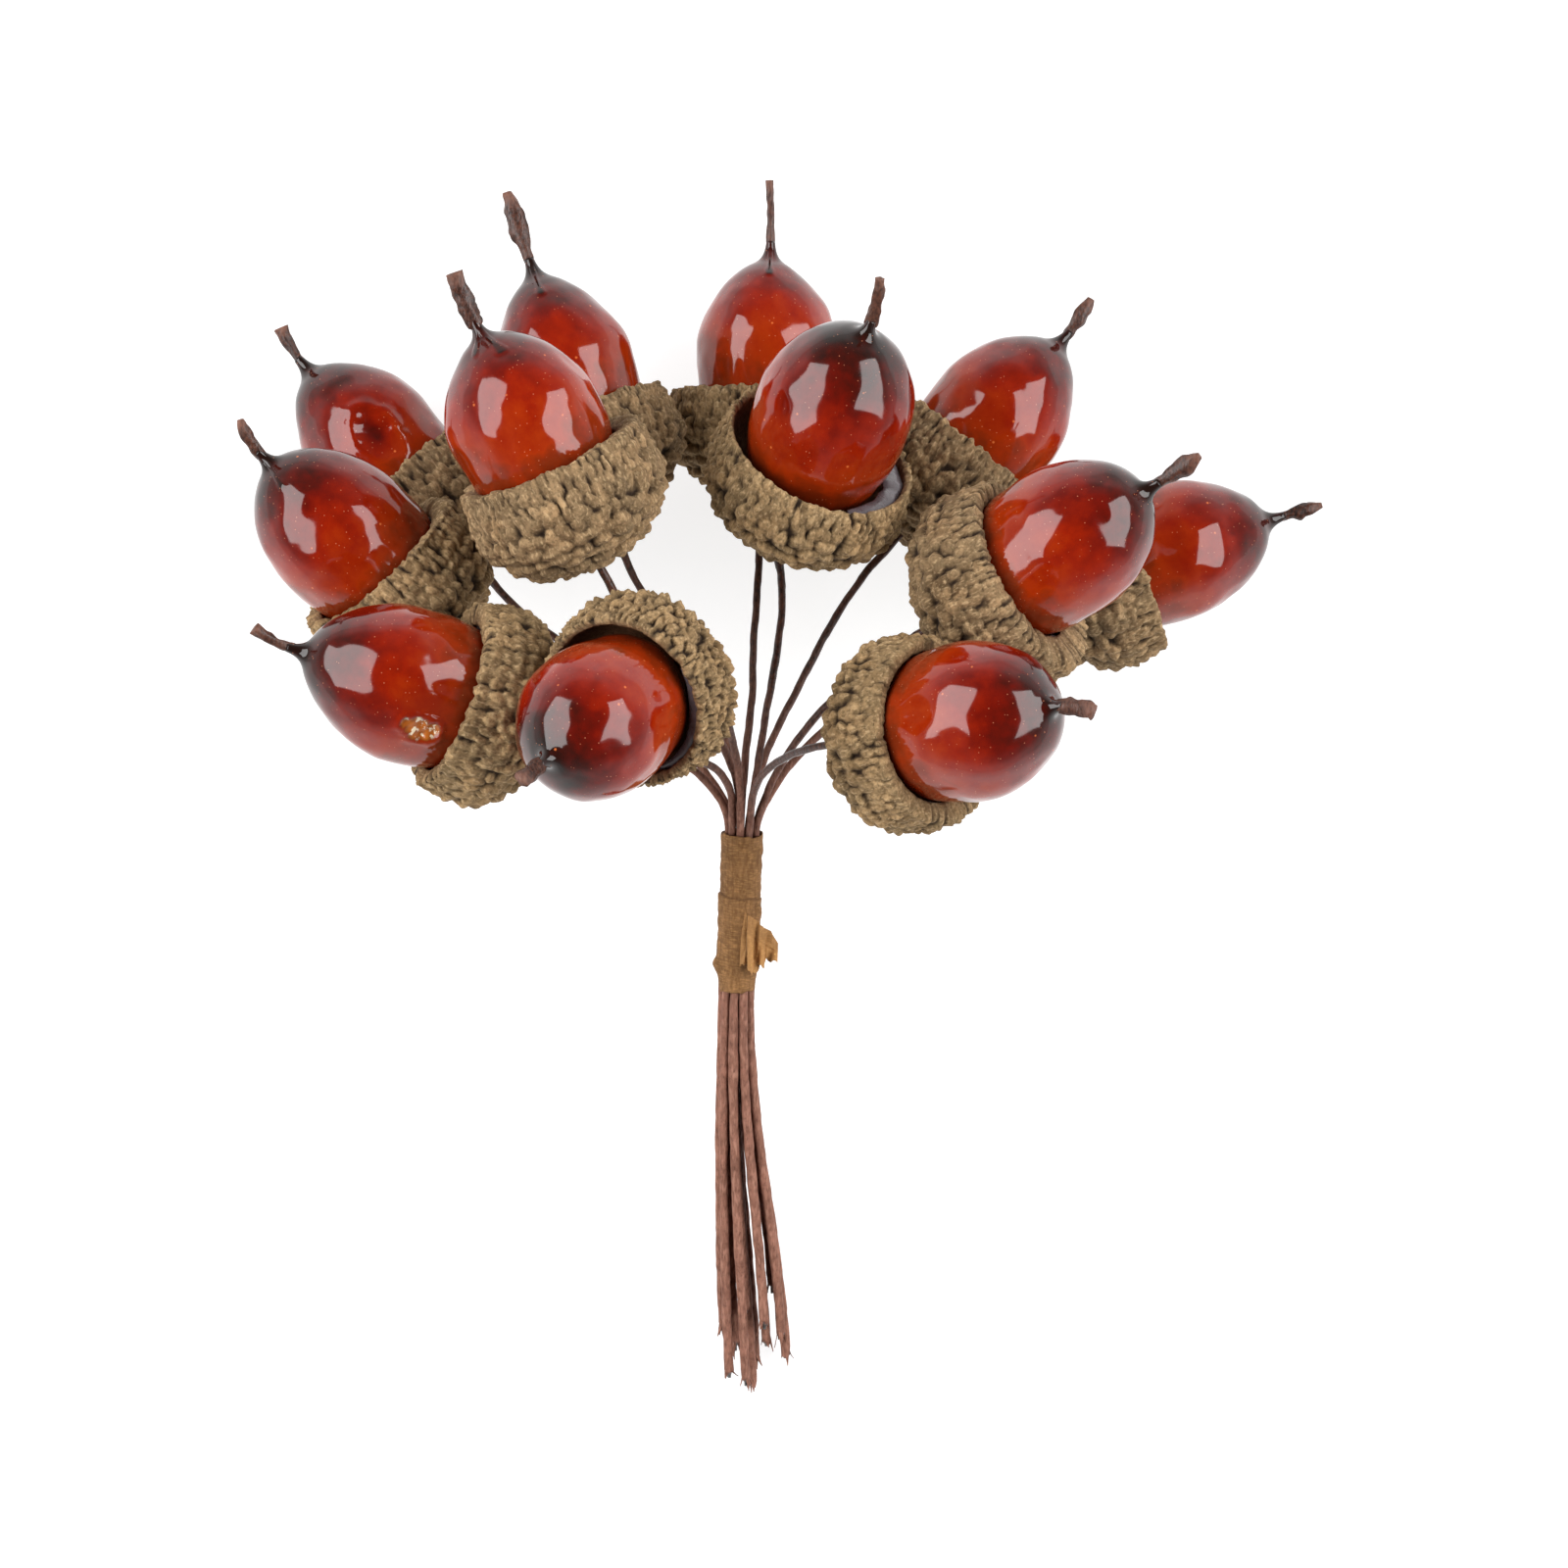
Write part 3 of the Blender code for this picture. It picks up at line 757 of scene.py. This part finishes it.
def scale_relief(outline, distance, kind, seed):
    """How high the scales stand on a cup's skin, with a tone and how high up its own scale each point is. The
    tone is random for each scale, with painted light where the scale stands highest.
    """
    random = np.random.default_rng(seed)
    angle = np.linspace(0, tau, CUP_AROUND, endpoint=False)
    radius = np.maximum(outline[:, 0], 1 * MM)
    skin = about_axis(radius[:, None], angle, outline[:, 1:])
    shift_along = rough(skin, 2.0 * MM, seed + 11, 3) * 0.42 * MM
    shift_round = rough(skin, 2.0 * MM, seed + 23, 3) * 0.40 * MM
    relief = np.zeros(skin.shape[:2])
    tone = np.full(skin.shape[:2], 0.3)
    level = np.zeros(skin.shape[:2])
    uneven = kind.uneven
    all_rows = scale_rows(distance[-1], lambda at: np.interp(at, distance, radius), kind)
    for number, (at, count, width, reach, share) in enumerate(all_rows):
        start = random.random()
        for place in range(count):
            stray = random.normal(0, 0.10 + 0.2 * uneven)
            centre = tau * (place + start + (number % 2) * 0.5 + stray) / count
            tip = at + random.normal(0, 0.55 * uneven + 0.06) * MM
            wide = width * (1 + random.normal(0, uneven * 0.6)) * 0.62
            long = reach * (1 + random.normal(0, uneven * 0.5))
            lean = random.normal(0, 0.14)
            high = np.interp(share, [0, 0.3, 0.75, 0.9, 1], [0.75, 1.0, 0.95, 0.75, 0.6])
            high *= kind.relief * MM
            high *= 1 + np.clip(random.normal(0, uneven), -0.3, 0.2)
            shade = np.clip(random.normal(0.5, 0.24), 0, 1)
            first = np.searchsorted(distance, tip - long)
            last = np.searchsorted(distance, tip)
            rows = slice(max(first - 2, 0), min(last + 2, len(distance)))
            if rows.stop <= rows.start:
                continue
            local_radius = radius[rows][:, None]
            span = int(np.ceil((wide * 1.4 + 0.6 * MM) / local_radius.min() / tau * CUP_AROUND))
            span = min(span, CUP_AROUND // 2)
            middle = int(round(centre / tau * CUP_AROUND)) % CUP_AROUND
            columns = np.arange(middle - span, middle + span) % CUP_AROUND
            back = (tip - distance[rows][:, None] + shift_along[rows][:, columns]) / long
            aside = turned_from(angle[columns], centre) * local_radius + shift_round[rows][:, columns]
            across = aside / wide - lean * back * 2
            front = np.clip((FULLEST - back) / FULLEST, -0.2, 1.2)
            nose = across**2 + np.clip(front, 0, 2) ** 2
            tongue = np.abs(across) + np.clip(front, 0, 2) ** 1.3
            edge = nose * (1 - kind.pointed) + tongue * kind.pointed
            plump = np.sqrt(np.clip(1 - edge, 0, 1))
            fall = np.clip(1 - 1.15 * np.clip(back - FULLEST, 0, 1) / (1 - FULLEST), 0, 1)
            height = plump * fall * high
            here = relief[rows][:, columns]
            higher = height > here
            # painted light: each scale's random tone is lighter where it stands highest and darker round its
            # edges
            tone_with_painted_light = shade * (0.5 + 0.5 * plump * fall)
            relief[rows, columns] = np.where(higher, height, here)
            tone[rows, columns] = np.where(higher, tone_with_painted_light, tone[rows][:, columns])
            level[rows, columns] = np.where(higher, height / high, level[rows][:, columns])
    return relief, tone, level


def build_cup(index, acorn, kind, finish):
    """One cup: overlapping scales on its outside, a ribbed rim and a smooth dark lining."""
    outline, distance = evenly(cup_outline(acorn), CUP_ROW_SPACING)
    relief, tone, level = scale_relief(outline, distance, kind, 100 + index)
    run = np.gradient(outline, axis=0)
    run /= np.linalg.norm(run, axis=1, keepdims=True)
    normal = np.stack([run[:, 1], -run[:, 0]], axis=1)
    angle = np.linspace(0, tau, CUP_AROUND, endpoint=False)
    skin = about_axis(outline[:, :1], angle, outline[:, 1:])
    fine = (wander(skin, 0.9 * MM, index) * 0.09 + wander(skin, 0.45 * MM, index + 9) * 0.07) * MM
    high = (relief + fine) * smooth_step(0.0, 1.4 * MM, distance)[:, None]
    out = high + wander(skin, 9 * MM, index + 60) * 0.25 * MM
    forward = high * 0.3
    radius = outline[:, :1] + normal[:, :1] * out + run[:, :1] * forward
    height = outline[:, 1:] + normal[:, 1:] * out + run[:, 1:] * forward
    # painted shade: darker where a point lies low on its scale, in the creases between scales
    crease_shade = 1 - smooth_step(0.12, 0.62, level)

    # Over the rim and down the lining, which shares the outside's columns
    inner = acorn.cup_width / 2 * MM - CUP_WALL
    edge = outline[-1, 0]
    lip_noise = rough(skin[-1] * np.array([1, 1, 0]), 0.9 * MM, index + 5) * 0.26 * MM
    rib = relief[-1] * 0.8
    lean = cap_place(acorn).inverted() @ nut_place(acorn)
    shift = lean.translation.x * np.cos(angle) + lean.translation.y * np.sin(angle)
    nut_side = acorn.nut_width / 2 * MM * 0.95 + shift
    snug = SNUG[index]
    inside_edge = np.minimum(between(inner, nut_side - 0.05 * MM, snug), edge - 0.5 * MM)
    inside_edge = inside_edge + np.abs(lip_noise) * 0.6
    groove = wander(about_axis(1, angle, 0), 0.09, index + 2) * 0.16 * MM
    lip = [
        (edge + rib * 0.95, 0.05 * MM + lip_noise * 0.6 + rib * 0.25),
        (edge - 0.15 * MM + rib * 0.8, 0.16 * MM + lip_noise + rib * 0.5),
        (between(edge, inside_edge, 0.35) + rib * 0.5, 0.2 * MM + lip_noise + rib * 0.5 + groove),
        (between(edge, inside_edge, 0.65) + rib * 0.2, 0.1 * MM + lip_noise + rib * 0.3 + groove),
        (between(edge, inside_edge, 0.88), -0.05 * MM + lip_noise * 0.8 + rib * 0.15 + groove),
        (inside_edge, -0.25 * MM + lip_noise * 0.4 + groove),
        (inside_edge + 0.05 * MM, -0.6 * MM + 0 * rib),
        (between(inside_edge, inner, 0.6), -1.2 * MM + 0 * rib),
    ]
    for row, (r, z) in enumerate(lip[:6]):
        grain = rough(about_axis(edge, angle, row * 0.45 * MM), 0.75 * MM, index + 70) * 0.3 * MM
        lip[row] = (r + grain * 0.5, z + grain)
    floor = CUP_FLOOR - acorn.cup_depth * MM
    lining = quarter(inner, floor, CUP_INNER_CORNER - 1 * MM, 40, 2.2)
    lining, _ = evenly(np.concatenate([lining, [(CUP_BORE, floor)]]), 0.8 * MM)
    wall = [(r + 0 * rib, z + 0 * rib) for r, z in lining]
    extra_radius = np.array([r for r, _ in lip + wall])
    extra_height = np.array([z for _, z in lip + wall])
    radius = np.concatenate([radius, extra_radius])
    height = np.concatenate([height, extra_height])
    points = about_axis(radius, angle, height)
    stand_on_table(points, cap_place(acorn))
    count = len(extra_radius)
    lip_share = np.concatenate([[0, 0, 0.05, 0.15, 0.35, 0.7], np.ones(count - 6)])
    # painted shade along the outer edge of the lip, where it meets the scales
    lip_crease_shade = np.concatenate([[1, 0.9, 0.8, 0.6, 0.3], np.zeros(count - 5)])
    tints = {
        "tone": np.concatenate([tone, np.tile(tone[-1], (count, 1))]),
        "crease_shade": np.concatenate([crease_shade, lip_crease_shade[:, None] * crease_shade[-1]]),
        "inside": np.concatenate([np.zeros_like(tone), np.tile(lip_share[:, None], CUP_AROUND)]),
    }
    add_mesh(
        numbered("scaly_cup", index),
        points,
        shell_faces(*radius.shape),
        finish,
        tints=tints,
        matrix=cap_place(acorn),
        stands_for=[numbered("cap", index)],
    )


# ---------------------------------------------------------------- wires

WIRE_AROUND = 14
WIRE_STEP = 0.32 * MM
STEEL_RADIUS = 0.24 * MM
SHREDS_EACH = 4


def sweep(points, widths, around, upright=Vector((0, 0, 1)), last_side=None):
    """Rings of points round a route, from each ring's half width and half thickness.

    The width lies square to upright at the route's start, or as near last_side as it can at its end.
    """
    points = np.asarray(points)
    run = np.gradient(points, axis=0)
    run /= np.linalg.norm(run, axis=1, keepdims=True)
    side = np.cross(np.array(upright), run[0])
    sides = []
    for along in run:
        side = side - along * np.dot(side, along)
        side = side / np.linalg.norm(side)
        sides.append(side)
    sides = np.array(sides)
    ups = np.cross(run, sides)
    if last_side is not None:
        roll = np.arctan2(np.dot(ups[-1], last_side), np.dot(sides[-1], last_side))
        sides = sides * np.cos(roll) + ups * np.sin(roll)
        ups = np.cross(run, sides)
    angle = np.linspace(0, tau, around, endpoint=False)
    wide = np.array([np.broadcast_to(half, angle.shape) for half, _ in widths]) * np.cos(angle)
    thick = np.array([np.broadcast_to(half, angle.shape) for _, half in widths]) * np.sin(angle)
    return points[:, None] + wide[..., None] * sides[:, None] + thick[..., None] * ups[:, None]


def capped(rings):
    """Faces for a stack of rings with both ends closed."""
    rows, columns = rings.shape[:2]
    faces = wall_faces(rows, columns).reshape(rows, columns, 4)[:-1].reshape(-1, 4).tolist()
    faces.append(list(range(columns))[::-1])
    faces.append([(rows - 1) * columns + k for k in range(columns)])
    return faces


# Wires with a swelling of lacquer under the cup that is larger than the others'
SWOLLEN = (4, 6, 8)

# Each stalk's half width in mm, at even steps from the nut's tip to its end
STALKS = [
    [0.6, 0.6, 0.6, 0.65, 0.8],
    [0.6, 0.8, 0.7, 0.8, 0.4],
    [0.6, 0.55, 0.65, 0.85, 1.0],
    [0.95, 1.1, 1.05, 1.15, 1.0],
    [0.6, 0.75, 1.35, 1.25, 0.5],
    [0.55, 0.5, 0.5, 0.5, 0.45],
    [0.75, 0.8, 0.7, 0.7, 0.5],
    [0.6, 0.7, 1.05, 0.85, 0.45],
    [0.65, 0.7, 1.05, 1.15, 0.45],
    [0.6, 0.6, 0.95, 0.85, 0.4],
    [0.85, 0.9, 0.95, 1.05, 1.1],
    [0.75, 0.9, 1.0, 1.1, 0.9],
]


def build_wire(index, acorn, finish):
    """One wire with its paper: torn at the cut end, lacquered near the cup, splayed past the nut."""
    offset = ring_offset(acorn, (TAPE_TOP - TAPE_FOOT).normalized())
    foot = TAPE_FOOT - LAYOUT_CENTRE
    top = TAPE_TOP - LAYOUT_CENTRE
    taped = [between(foot, top, share) + offset for share in np.linspace(0, 0.9, 8)]
    through = [cup_foot(acorn, STEM_LEAD), cup_foot(acorn), rim_point(acorn)]
    before = tail_points(acorn, 40) + taped + fan_points(acorn, 40) + through
    stalk = stalk_points(acorn, 16)
    route, at = evenly([tuple(p) for p in before + stalk], WIRE_STEP)
    stalk_run = acorn.stalk_length * MM
    past_tip = (at - (at[-1] - stalk_run)) / stalk_run
    to_fan = np.array([tuple(p) for p in before[: 40 + len(taped) + 1]])
    fan_at = np.linalg.norm(np.diff(to_fan, axis=0), axis=1).sum()
    foot_at = at[-1] - stalk_run - (acorn.nut_length + 1 + acorn.cup_depth) * MM

    # The paper is a strip wound round, with lumps, and a swelling of lacquer under the cup
    angle = np.linspace(0, tau, WIRE_AROUND, endpoint=False)
    wound = (at[:, None] / (5.5 * MM) + angle / tau + 0.37 * index) % 1.0
    seam = 0.13 * smooth_step(0.0, 0.12, wound) * (1 - smooth_step(0.5, 1.0, wound))
    lumps = wander(route + index, 3 * MM, index) * 0.06
    free = smooth_step(0, 6 * MM, at - fan_at) * smooth_step(0, 8 * MM, foot_at - at)
    kink = np.stack([wander(route + k, 9 * MM, index * 3 + k) for k in range(3)], -1)
    route = route + kink * free[:, None] * 0.45 * MM
    swell = 0.35 * hump(at, foot_at - 3.2 * MM, 1.8 * MM) * (1 if index in SWOLLEN else 0.25)
    loose = 1 - smooth_step(48 * MM, 58 * MM, at)
    loose = loose * (0.26 + 0.14 * wander(route + index, 5 * MM, index + 7))
    wide = WIRE_RADIUS * (0.92 + seam + (lumps + swell + loose)[:, None])
    wide = wide * (1 + 0.05 * wander(about_axis(3, angle, at[:, None] / MM), 1.0, index))
    thick = wide.copy()

    # The stalk is wider than it is thick, with ridges like bark
    splay = np.clip(past_tip, 0, 1)
    shape = np.interp(splay, np.linspace(0, 1, 5), STALKS[index])[:, None] * MM
    bark = wander(about_axis(1, angle, at[:, None] / (2 * MM)), 0.5, index)
    shape = shape * (1 + 0.16 * np.cos(4 * angle + 7 * splay[:, None] + index) + 0.24 * bark)
    beyond = smooth_step(-0.02, 0.06, past_tip)[:, None]
    wide = between(wide, shape, beyond)
    thick = between(thick, np.minimum(shape * 0.62, 0.62 * MM), beyond)

    # The torn end of the paper, and the steel in it
    bare = 0.9 * MM if index % 3 else 0.25 * MM
    around = np.stack([angle, angle * 0, angle * 0 + index], -1)
    torn = bare + 0.5 * MM * wander(around, 0.9)
    covered = smooth_step(0, 0.25 * MM, at[:, None] - torn)
    wide = between(STEEL_RADIUS, wide, covered)
    thick = between(STEEL_RADIUS, thick, covered)
    level_side, _ = upright_frame(direction(acorn.heading + acorn.stalk_turn, acorn.lift))
    rings = sweep(route, list(zip(wide, thick)), WIRE_AROUND, last_side=np.array(level_side))
    wet = smooth_step(-50 * MM, -16 * MM, at - foot_at)[:, None]
    wet = wet * (1 - 0.45 * smooth_step(0.7, 1.0, past_tip[:, None] + 0.1 * bark))
    add_mesh(
        numbered("paper_wire", index),
        rings,
        capped(rings),
        finish,
        tints={"lacquer": wet * (0.85 + 0.15 * lumps[:, None] / 0.06), "core": 1 - covered},
        stands_for=[numbered("stem_wire", index)],
    )


def build_shreds(finish):
    """Thin shreds of paper that stand off the wires where they were cut."""
    points, faces = [], []
    along = np.linspace(0, 1, 9)
    widths = [(half * MM, 0.055 * MM) for half in np.interp(along, [0, 0.5, 1], [0.42, 0.34, 0.06])]
    for index, acorn in enumerate(ACORNS):
        tail = tail_points(acorn, 40)
        run = (tail[2] - tail[0]).normalized()
        side, up = upright_frame(run)
        for shred in range(SHREDS_EACH):
            chance = RANDOM_LATTICE[index, shred]
            way = 1.6 * shred + 0.9 * chance[0]
            out = side * cos(way) + up * sin(way)
            start = tail[0] + run * (1.9 + 0.6 * chance[1]) * MM + out * 0.36 * MM
            middle = tail[0] + run * 0.6 * MM + out * (0.55 + 0.15 * chance[2]) * MM
            end = tail[0] - run * (0.5 + 0.8 * chance[3]) * MM + out * (0.8 + 0.45 * chance[4]) * MM
            handle = between(start, middle, 0.6)
            path = [tuple(bezier(start, handle, middle, end, share)) for share in along]
            rings = sweep(path, widths, 8, upright=out)
            first = sum(len(earlier) for earlier in points)
            points.append(rings.reshape(-1, 3))
            faces += [[first + corner for corner in face] for face in capped(rings)]
    points = np.concatenate(points)
    plain = np.zeros(len(points))
    tints = {"lacquer": plain, "core": plain}
    add_mesh("paper_shreds", points, faces, finish, tints=tints)


# ---------------------------------------------------------------- glue


GLUE_STEPS = 40


def build_glue(index, acorn, finish):
    """A lumpy bead of glue in the gap between the nut and the rim."""
    rim_radius = acorn.cup_width / 2 * MM - CUP_WALL
    nut_radius = acorn.nut_width / 2 * NUT_AT_RIM * MM
    points, gaps = [], []
    for share in np.linspace(-0.5, 0.5, GLUE_STEPS + 1):
        angle = radians(acorn.glue_at + GLUE_ARC * share)
        away = Matrix.Rotation(angle, 3, "Z") @ Vector((1, 0, 0))
        on_cup = cap_place(acorn) @ (away * rim_radius + GLUE_DEPTH)
        on_nut = nut_place(acorn) @ (away * nut_radius + GLUE_DEPTH)
        points.append(tuple(between(on_nut, on_cup, 0.5)))
        gaps.append((on_cup - on_nut).length)
    route = np.array(points)
    along = direction(acorn.heading, acorn.lift)
    lumps = 1 + 0.3 * wander(route, 2.2 * MM, index + 31)
    taper = np.sin(np.linspace(0.12, pi - 0.12, GLUE_STEPS + 1)) ** 0.5
    wide = np.array(gaps) / 2 * lumps * taper * 0.98
    thick = 0.55 * MM * lumps * taper
    rings = sweep(route, list(zip(wide, thick)), 12, upright=along)
    add_mesh(
        numbered("set_glue", index),
        rings,
        capped(rings),
        finish,
        tints={},
        stands_for=[numbered("glue_bead", index)],
    )


# ---------------------------------------------------------------- tape

TAPE_AROUND = 160
TAPE_ROWS = 130
LAP_HEIGHT = 12.8 * MM

# The torn end's path, seen from the foot of the tape: how far to the right of the tape's middle, how far
# in front of it, and the heights of its lower and upper edges, all in mm
TORN_END = [
    (0.30, 2.75, 4.6, 11.6),
    (0.75, 3.65, 4.2, 11.2),
    (1.50, 3.90, 3.3, 10.8),
    (2.50, 3.30, 3.2, 10.0),
    (3.30, 3.50, 4.4, 9.2),
    (4.20, 2.70, 4.9, 8.6),
    (5.30, 2.60, 4.2, 6.8),
]
TORN_COLUMNS = 90
TORN_ROWS = 44
TORN_HALF_THICKNESS = 0.09 * MM


def build_wrap(length, matrix, finish):
    """The wound tape: turns that overlap over the wires beneath, with uneven ends and a bulge on its left."""
    angle = np.linspace(0, tau, TAPE_AROUND, endpoint=False)
    rise = np.linspace(0, length, TAPE_ROWS)
    ends = rough(about_axis(1, angle, 0), 0.45, 3) * 0.3 * MM
    height = rise[:, None] + ends * (1 - 2 * rise[:, None] / length)
    where = about_axis(1, angle, height / (3 * MM))

    lap = height - LAP_HEIGHT - 1.1 * MM * np.sin(angle + 0.4) * (1 - np.sin(angle)) * 0.5
    lap = lap - 0.18 * MM * rough(where, 0.8, 5)
    ply = 0.22 * (1 - smooth_step(-0.12 * MM, 0.02 * MM, lap))
    ply *= 0.3 + 0.7 * smooth_step(0, 7 * MM, height)
    second = (height / (7.5 * MM) + angle / tau + 0.05 * wander(where, 0.7, 6)) % 1.0
    ply += 0.05 * (1 - smooth_step(0.0, 0.04, second))
    ribs = 0.09 * wander(where * np.array([1, 1, 0.12]), 0.3, 2)
    creases = 0.10 * rough(where * np.array([0.5, 0.5, 1.3]), 0.55, 9, 4)
    bulge = 0.75 * hump(height, 3.3 * MM, 1.1 * MM) * hump(turned_from(angle, 0.15), 0, 0.5)
    inner = np.interp(rise, [0, length * 0.25, length * 0.6, length], [2.3, 2.4, 2.5, 2.6]) * MM
    skin = np.interp(rise, [0, length * 0.3], [0.1, 0.2])[:, None]
    outer = inner[:, None] + (skin + ply + ribs + creases + bulge) * MM

    radius = np.concatenate([outer, np.tile(inner[::-1, None], TAPE_AROUND)])
    level = np.concatenate([height, height[::-1]])
    # painted shade along the edge of each turn and of the second winding, and in the deepest creases; the
    # inner side is all shaded
    edge = hump(lap, 0.02 * MM, 0.16 * MM) + 0.4 * hump(second, 0, 0.03)
    edge = np.clip(edge + 0.8 * smooth_step(0.1, 0.35, -creases), 0, 1)
    add_mesh(
        "crepe_wrap",
        about_axis(radius, angle, level),
        shell_faces(*radius.shape),
        finish,
        tints={"edge": np.concatenate([edge * 0.7, np.ones_like(edge)])},
        matrix=matrix,
        stands_for=["binding_tape"],
    )


def build_torn_end(matrix, finish):
    """The torn end: a thin pleated scrap that leaves the front of the wrap and stands out on its right."""
    spots = np.array(TORN_END) * MM
    share = np.linspace(0, 1, TORN_COLUMNS)
    knots = np.linspace(0, 1, len(TORN_END))
    path = np.stack([np.interp(share, knots, column) for column in spots.T], axis=1)
    for _ in range(8):
        path[1:-1, :2] = (path[:-2, :2] + 2 * path[1:-1, :2] + path[2:, :2]) / 4
    run = np.gradient(path[:, :2], axis=0)
    run /= np.linalg.norm(run, axis=1, keepdims=True)
    out = np.stack([-run[:, 1], run[:, 0]], axis=1)[:, None, :]

    across = np.linspace(0, 1, TORN_ROWS)
    ragged = rough(np.stack([share * 4, share * 0, share * 0], -1), 0.35, 4)[:, None] * 0.75 * MM
    share = share[:, None]
    level = between(path[:, 2:3], path[:, 3:4], across) + ragged * (1 - across)
    pleats = 0.34 * np.sin(share * 21 + across * 2.0) + 0.2 * np.sin(share * 43 - across * 5)
    pleats += 0.14 * rough(level[..., None] / MM + share[..., None] * 4 * np.ones(3), 0.8, 6)
    curl = pleats * MM * smooth_step(0.0, 0.2, share) * (1.1 - 0.6 * across)
    centre = path[:, None, :2] + out * curl[..., None]
    centre[..., 1] -= across**2 * 0.8 * MM
    sheets = []
    for side in (1, -1):
        spot = centre + out * (TORN_HALF_THICKNESS * side)
        sheets.append(np.stack([-spot[..., 0], spot[..., 1], level], -1))
    rings = np.concatenate([sheets[0], sheets[1][:, ::-1]], axis=1)

    # painted light on the torn end, strongest towards its lower edge and away from where it leaves the wrap
    glint = 0.55 + 0.45 * smooth_step(0.8, 0.3, across) * smooth_step(0.1, 0.4, share)
    # painted shade along the torn end's folds
    fold_shade = np.clip(0.8 * hump(share, 0, 0.03) + hump(share, 0.24, 0.025), 0, 1)
    tints = {
        "edge": np.tile(fold_shade, 2 * TORN_ROWS),
        "glint": np.concatenate([glint, glint[:, ::-1]], axis=1),
    }
    name = "crepe_torn_end"
    add_mesh(name, rings, capped(rings), finish, tints=tints, matrix=matrix)


def build_tape(finish):
    """The tape: its wound turns, and its torn loose end."""
    foot = TAPE_FOOT - LAYOUT_CENTRE
    top = TAPE_TOP - LAYOUT_CENTRE
    matrix = placing(foot, (top - foot).normalized())
    build_wrap((top - foot).length, matrix, finish)
    build_torn_end(matrix, finish)


# ---------------------------------------------------------------- studio

CAMERA_HEIGHT = 600 * MM
VIEW_WIDTH = 208 * MM
VIEW_PLANE = 20 * MM
SENSOR_WIDTH = 36
BOARD_REACH = 4.0

# How bright the room is at each height on the sky, from the horizon at 0 to straight up at 1
ROOM_LEVELS = [(0.0, 0.95), (0.12, 0.8), (0.3, 0.35), (0.6, 0.12), (1.0, 0.03)]

# The soft boxes' places to the left and right, their size and their power, in metres and watts
BOX_ASIDE, BOX_FORWARD, BOX_HEIGHT = 0.52, 0.10, 0.50
BOX_LENGTH, BOX_WIDTH = 0.82, 0.46
BOX_POWER = 7.5
BOX_AIM = Vector((0, 0.03, 0.03))


def build_board():
    """The white board that the bunch lies on."""
    reach = BOARD_REACH
    corners = [(-reach, -reach, 0), (reach, -reach, 0), (reach, reach, 0), (-reach, reach, 0)]
    data = bpy.data.meshes.new("board")
    data.from_pydata(corners, [], [(0, 1, 2, 3)])
    data.materials.append(floor_material())
    board = bpy.data.objects.new("board", data)
    bpy.context.scene.collection.objects.link(board)


def build_room():
    """A white room that darkens overhead."""
    world = bpy.data.worlds.new("room")
    bpy.context.scene.world = world
    world.use_nodes = True
    tree = world.node_tree
    coordinates = tree.nodes.new("ShaderNodeTexCoord")
    split = tree.nodes.new("ShaderNodeSeparateXYZ")
    ramp = tree.nodes.new("ShaderNodeValToRGB")
    tree.links.new(coordinates.outputs["Generated"], split.inputs[0])
    tree.links.new(split.outputs["Z"], ramp.inputs[0])
    tree.links.new(ramp.outputs["Color"], tree.nodes["Background"].inputs["Color"])
    elements = ramp.color_ramp.elements
    while len(elements) < len(ROOM_LEVELS):
        elements.new(0.5)
    for element, (position, level) in zip(elements, ROOM_LEVELS):
        element.position = position
        element.color = (level, level, level, 1)


def build_lights():
    """Two soft boxes overhead, one on each side."""
    for name, way in (("left_box", -1), ("right_box", 1)):
        light = bpy.data.lights.new(name, "AREA")
        light.shape = "RECTANGLE"
        light.size = BOX_LENGTH
        light.size_y = BOX_WIDTH
        light.energy = BOX_POWER
        lamp = bpy.data.objects.new(name, light)
        lamp.location = Vector((way * BOX_ASIDE, BOX_FORWARD, BOX_HEIGHT))
        lamp.rotation_euler = (BOX_AIM - lamp.location).to_track_quat("-Z", "Y").to_euler()
        lamp.visible_camera = False
        bpy.context.scene.collection.objects.link(lamp)


def build_camera():
    """The camera, which looks straight down."""
    lens = bpy.data.cameras.new("camera")
    lens.sensor_width = SENSOR_WIDTH
    lens.lens = SENSOR_WIDTH * (CAMERA_HEIGHT - VIEW_PLANE) / VIEW_WIDTH
    lens.clip_start = 0.01
    camera = bpy.data.objects.new("camera", lens)
    camera.location = Vector((0, 0, CAMERA_HEIGHT)) - LAYOUT_CENTRE
    bpy.context.scene.collection.objects.link(camera)
    bpy.context.scene.camera = camera


# ---------------------------------------------------------------- the bunch


# The cups with warty scales, and the cups that are tan and not olive, by acorn number
WARTY_CUPS = (12,)
TAN_CUPS = (1, 2, 6, 7, 11, 12)


def build_bunch():
    """All twelve acorns with their wires, and the tape that binds them."""
    lacquer = lacquer_material()
    tan_cup = cup_material("tan_scales", srgb(188, 154, 110), srgb(108, 84, 55), srgb(132, 111, 80))
    olive_cup = cup_material("olive_scales", srgb(178, 145, 105), srgb(98, 76, 51), srgb(122, 102, 75))
    paper = stem_material()
    glue = glue_material()
    for index, acorn in enumerate(ACORNS):
        scales = WARTY_SCALES if index + 1 in WARTY_CUPS else USUAL_SCALES
        cup = tan_cup if index + 1 in TAN_CUPS else olive_cup
        build_nut(index, acorn, lacquer)
        build_cup(index, acorn, scales, cup)
        build_wire(index, acorn, paper)
        build_glue(index, acorn, glue)
    build_shreds(paper)
    build_tape(tape_material())


build_bunch()
build_board()
build_room()
build_lights()
build_camera()
bpy.context.scene.view_settings.view_transform = "Standard"
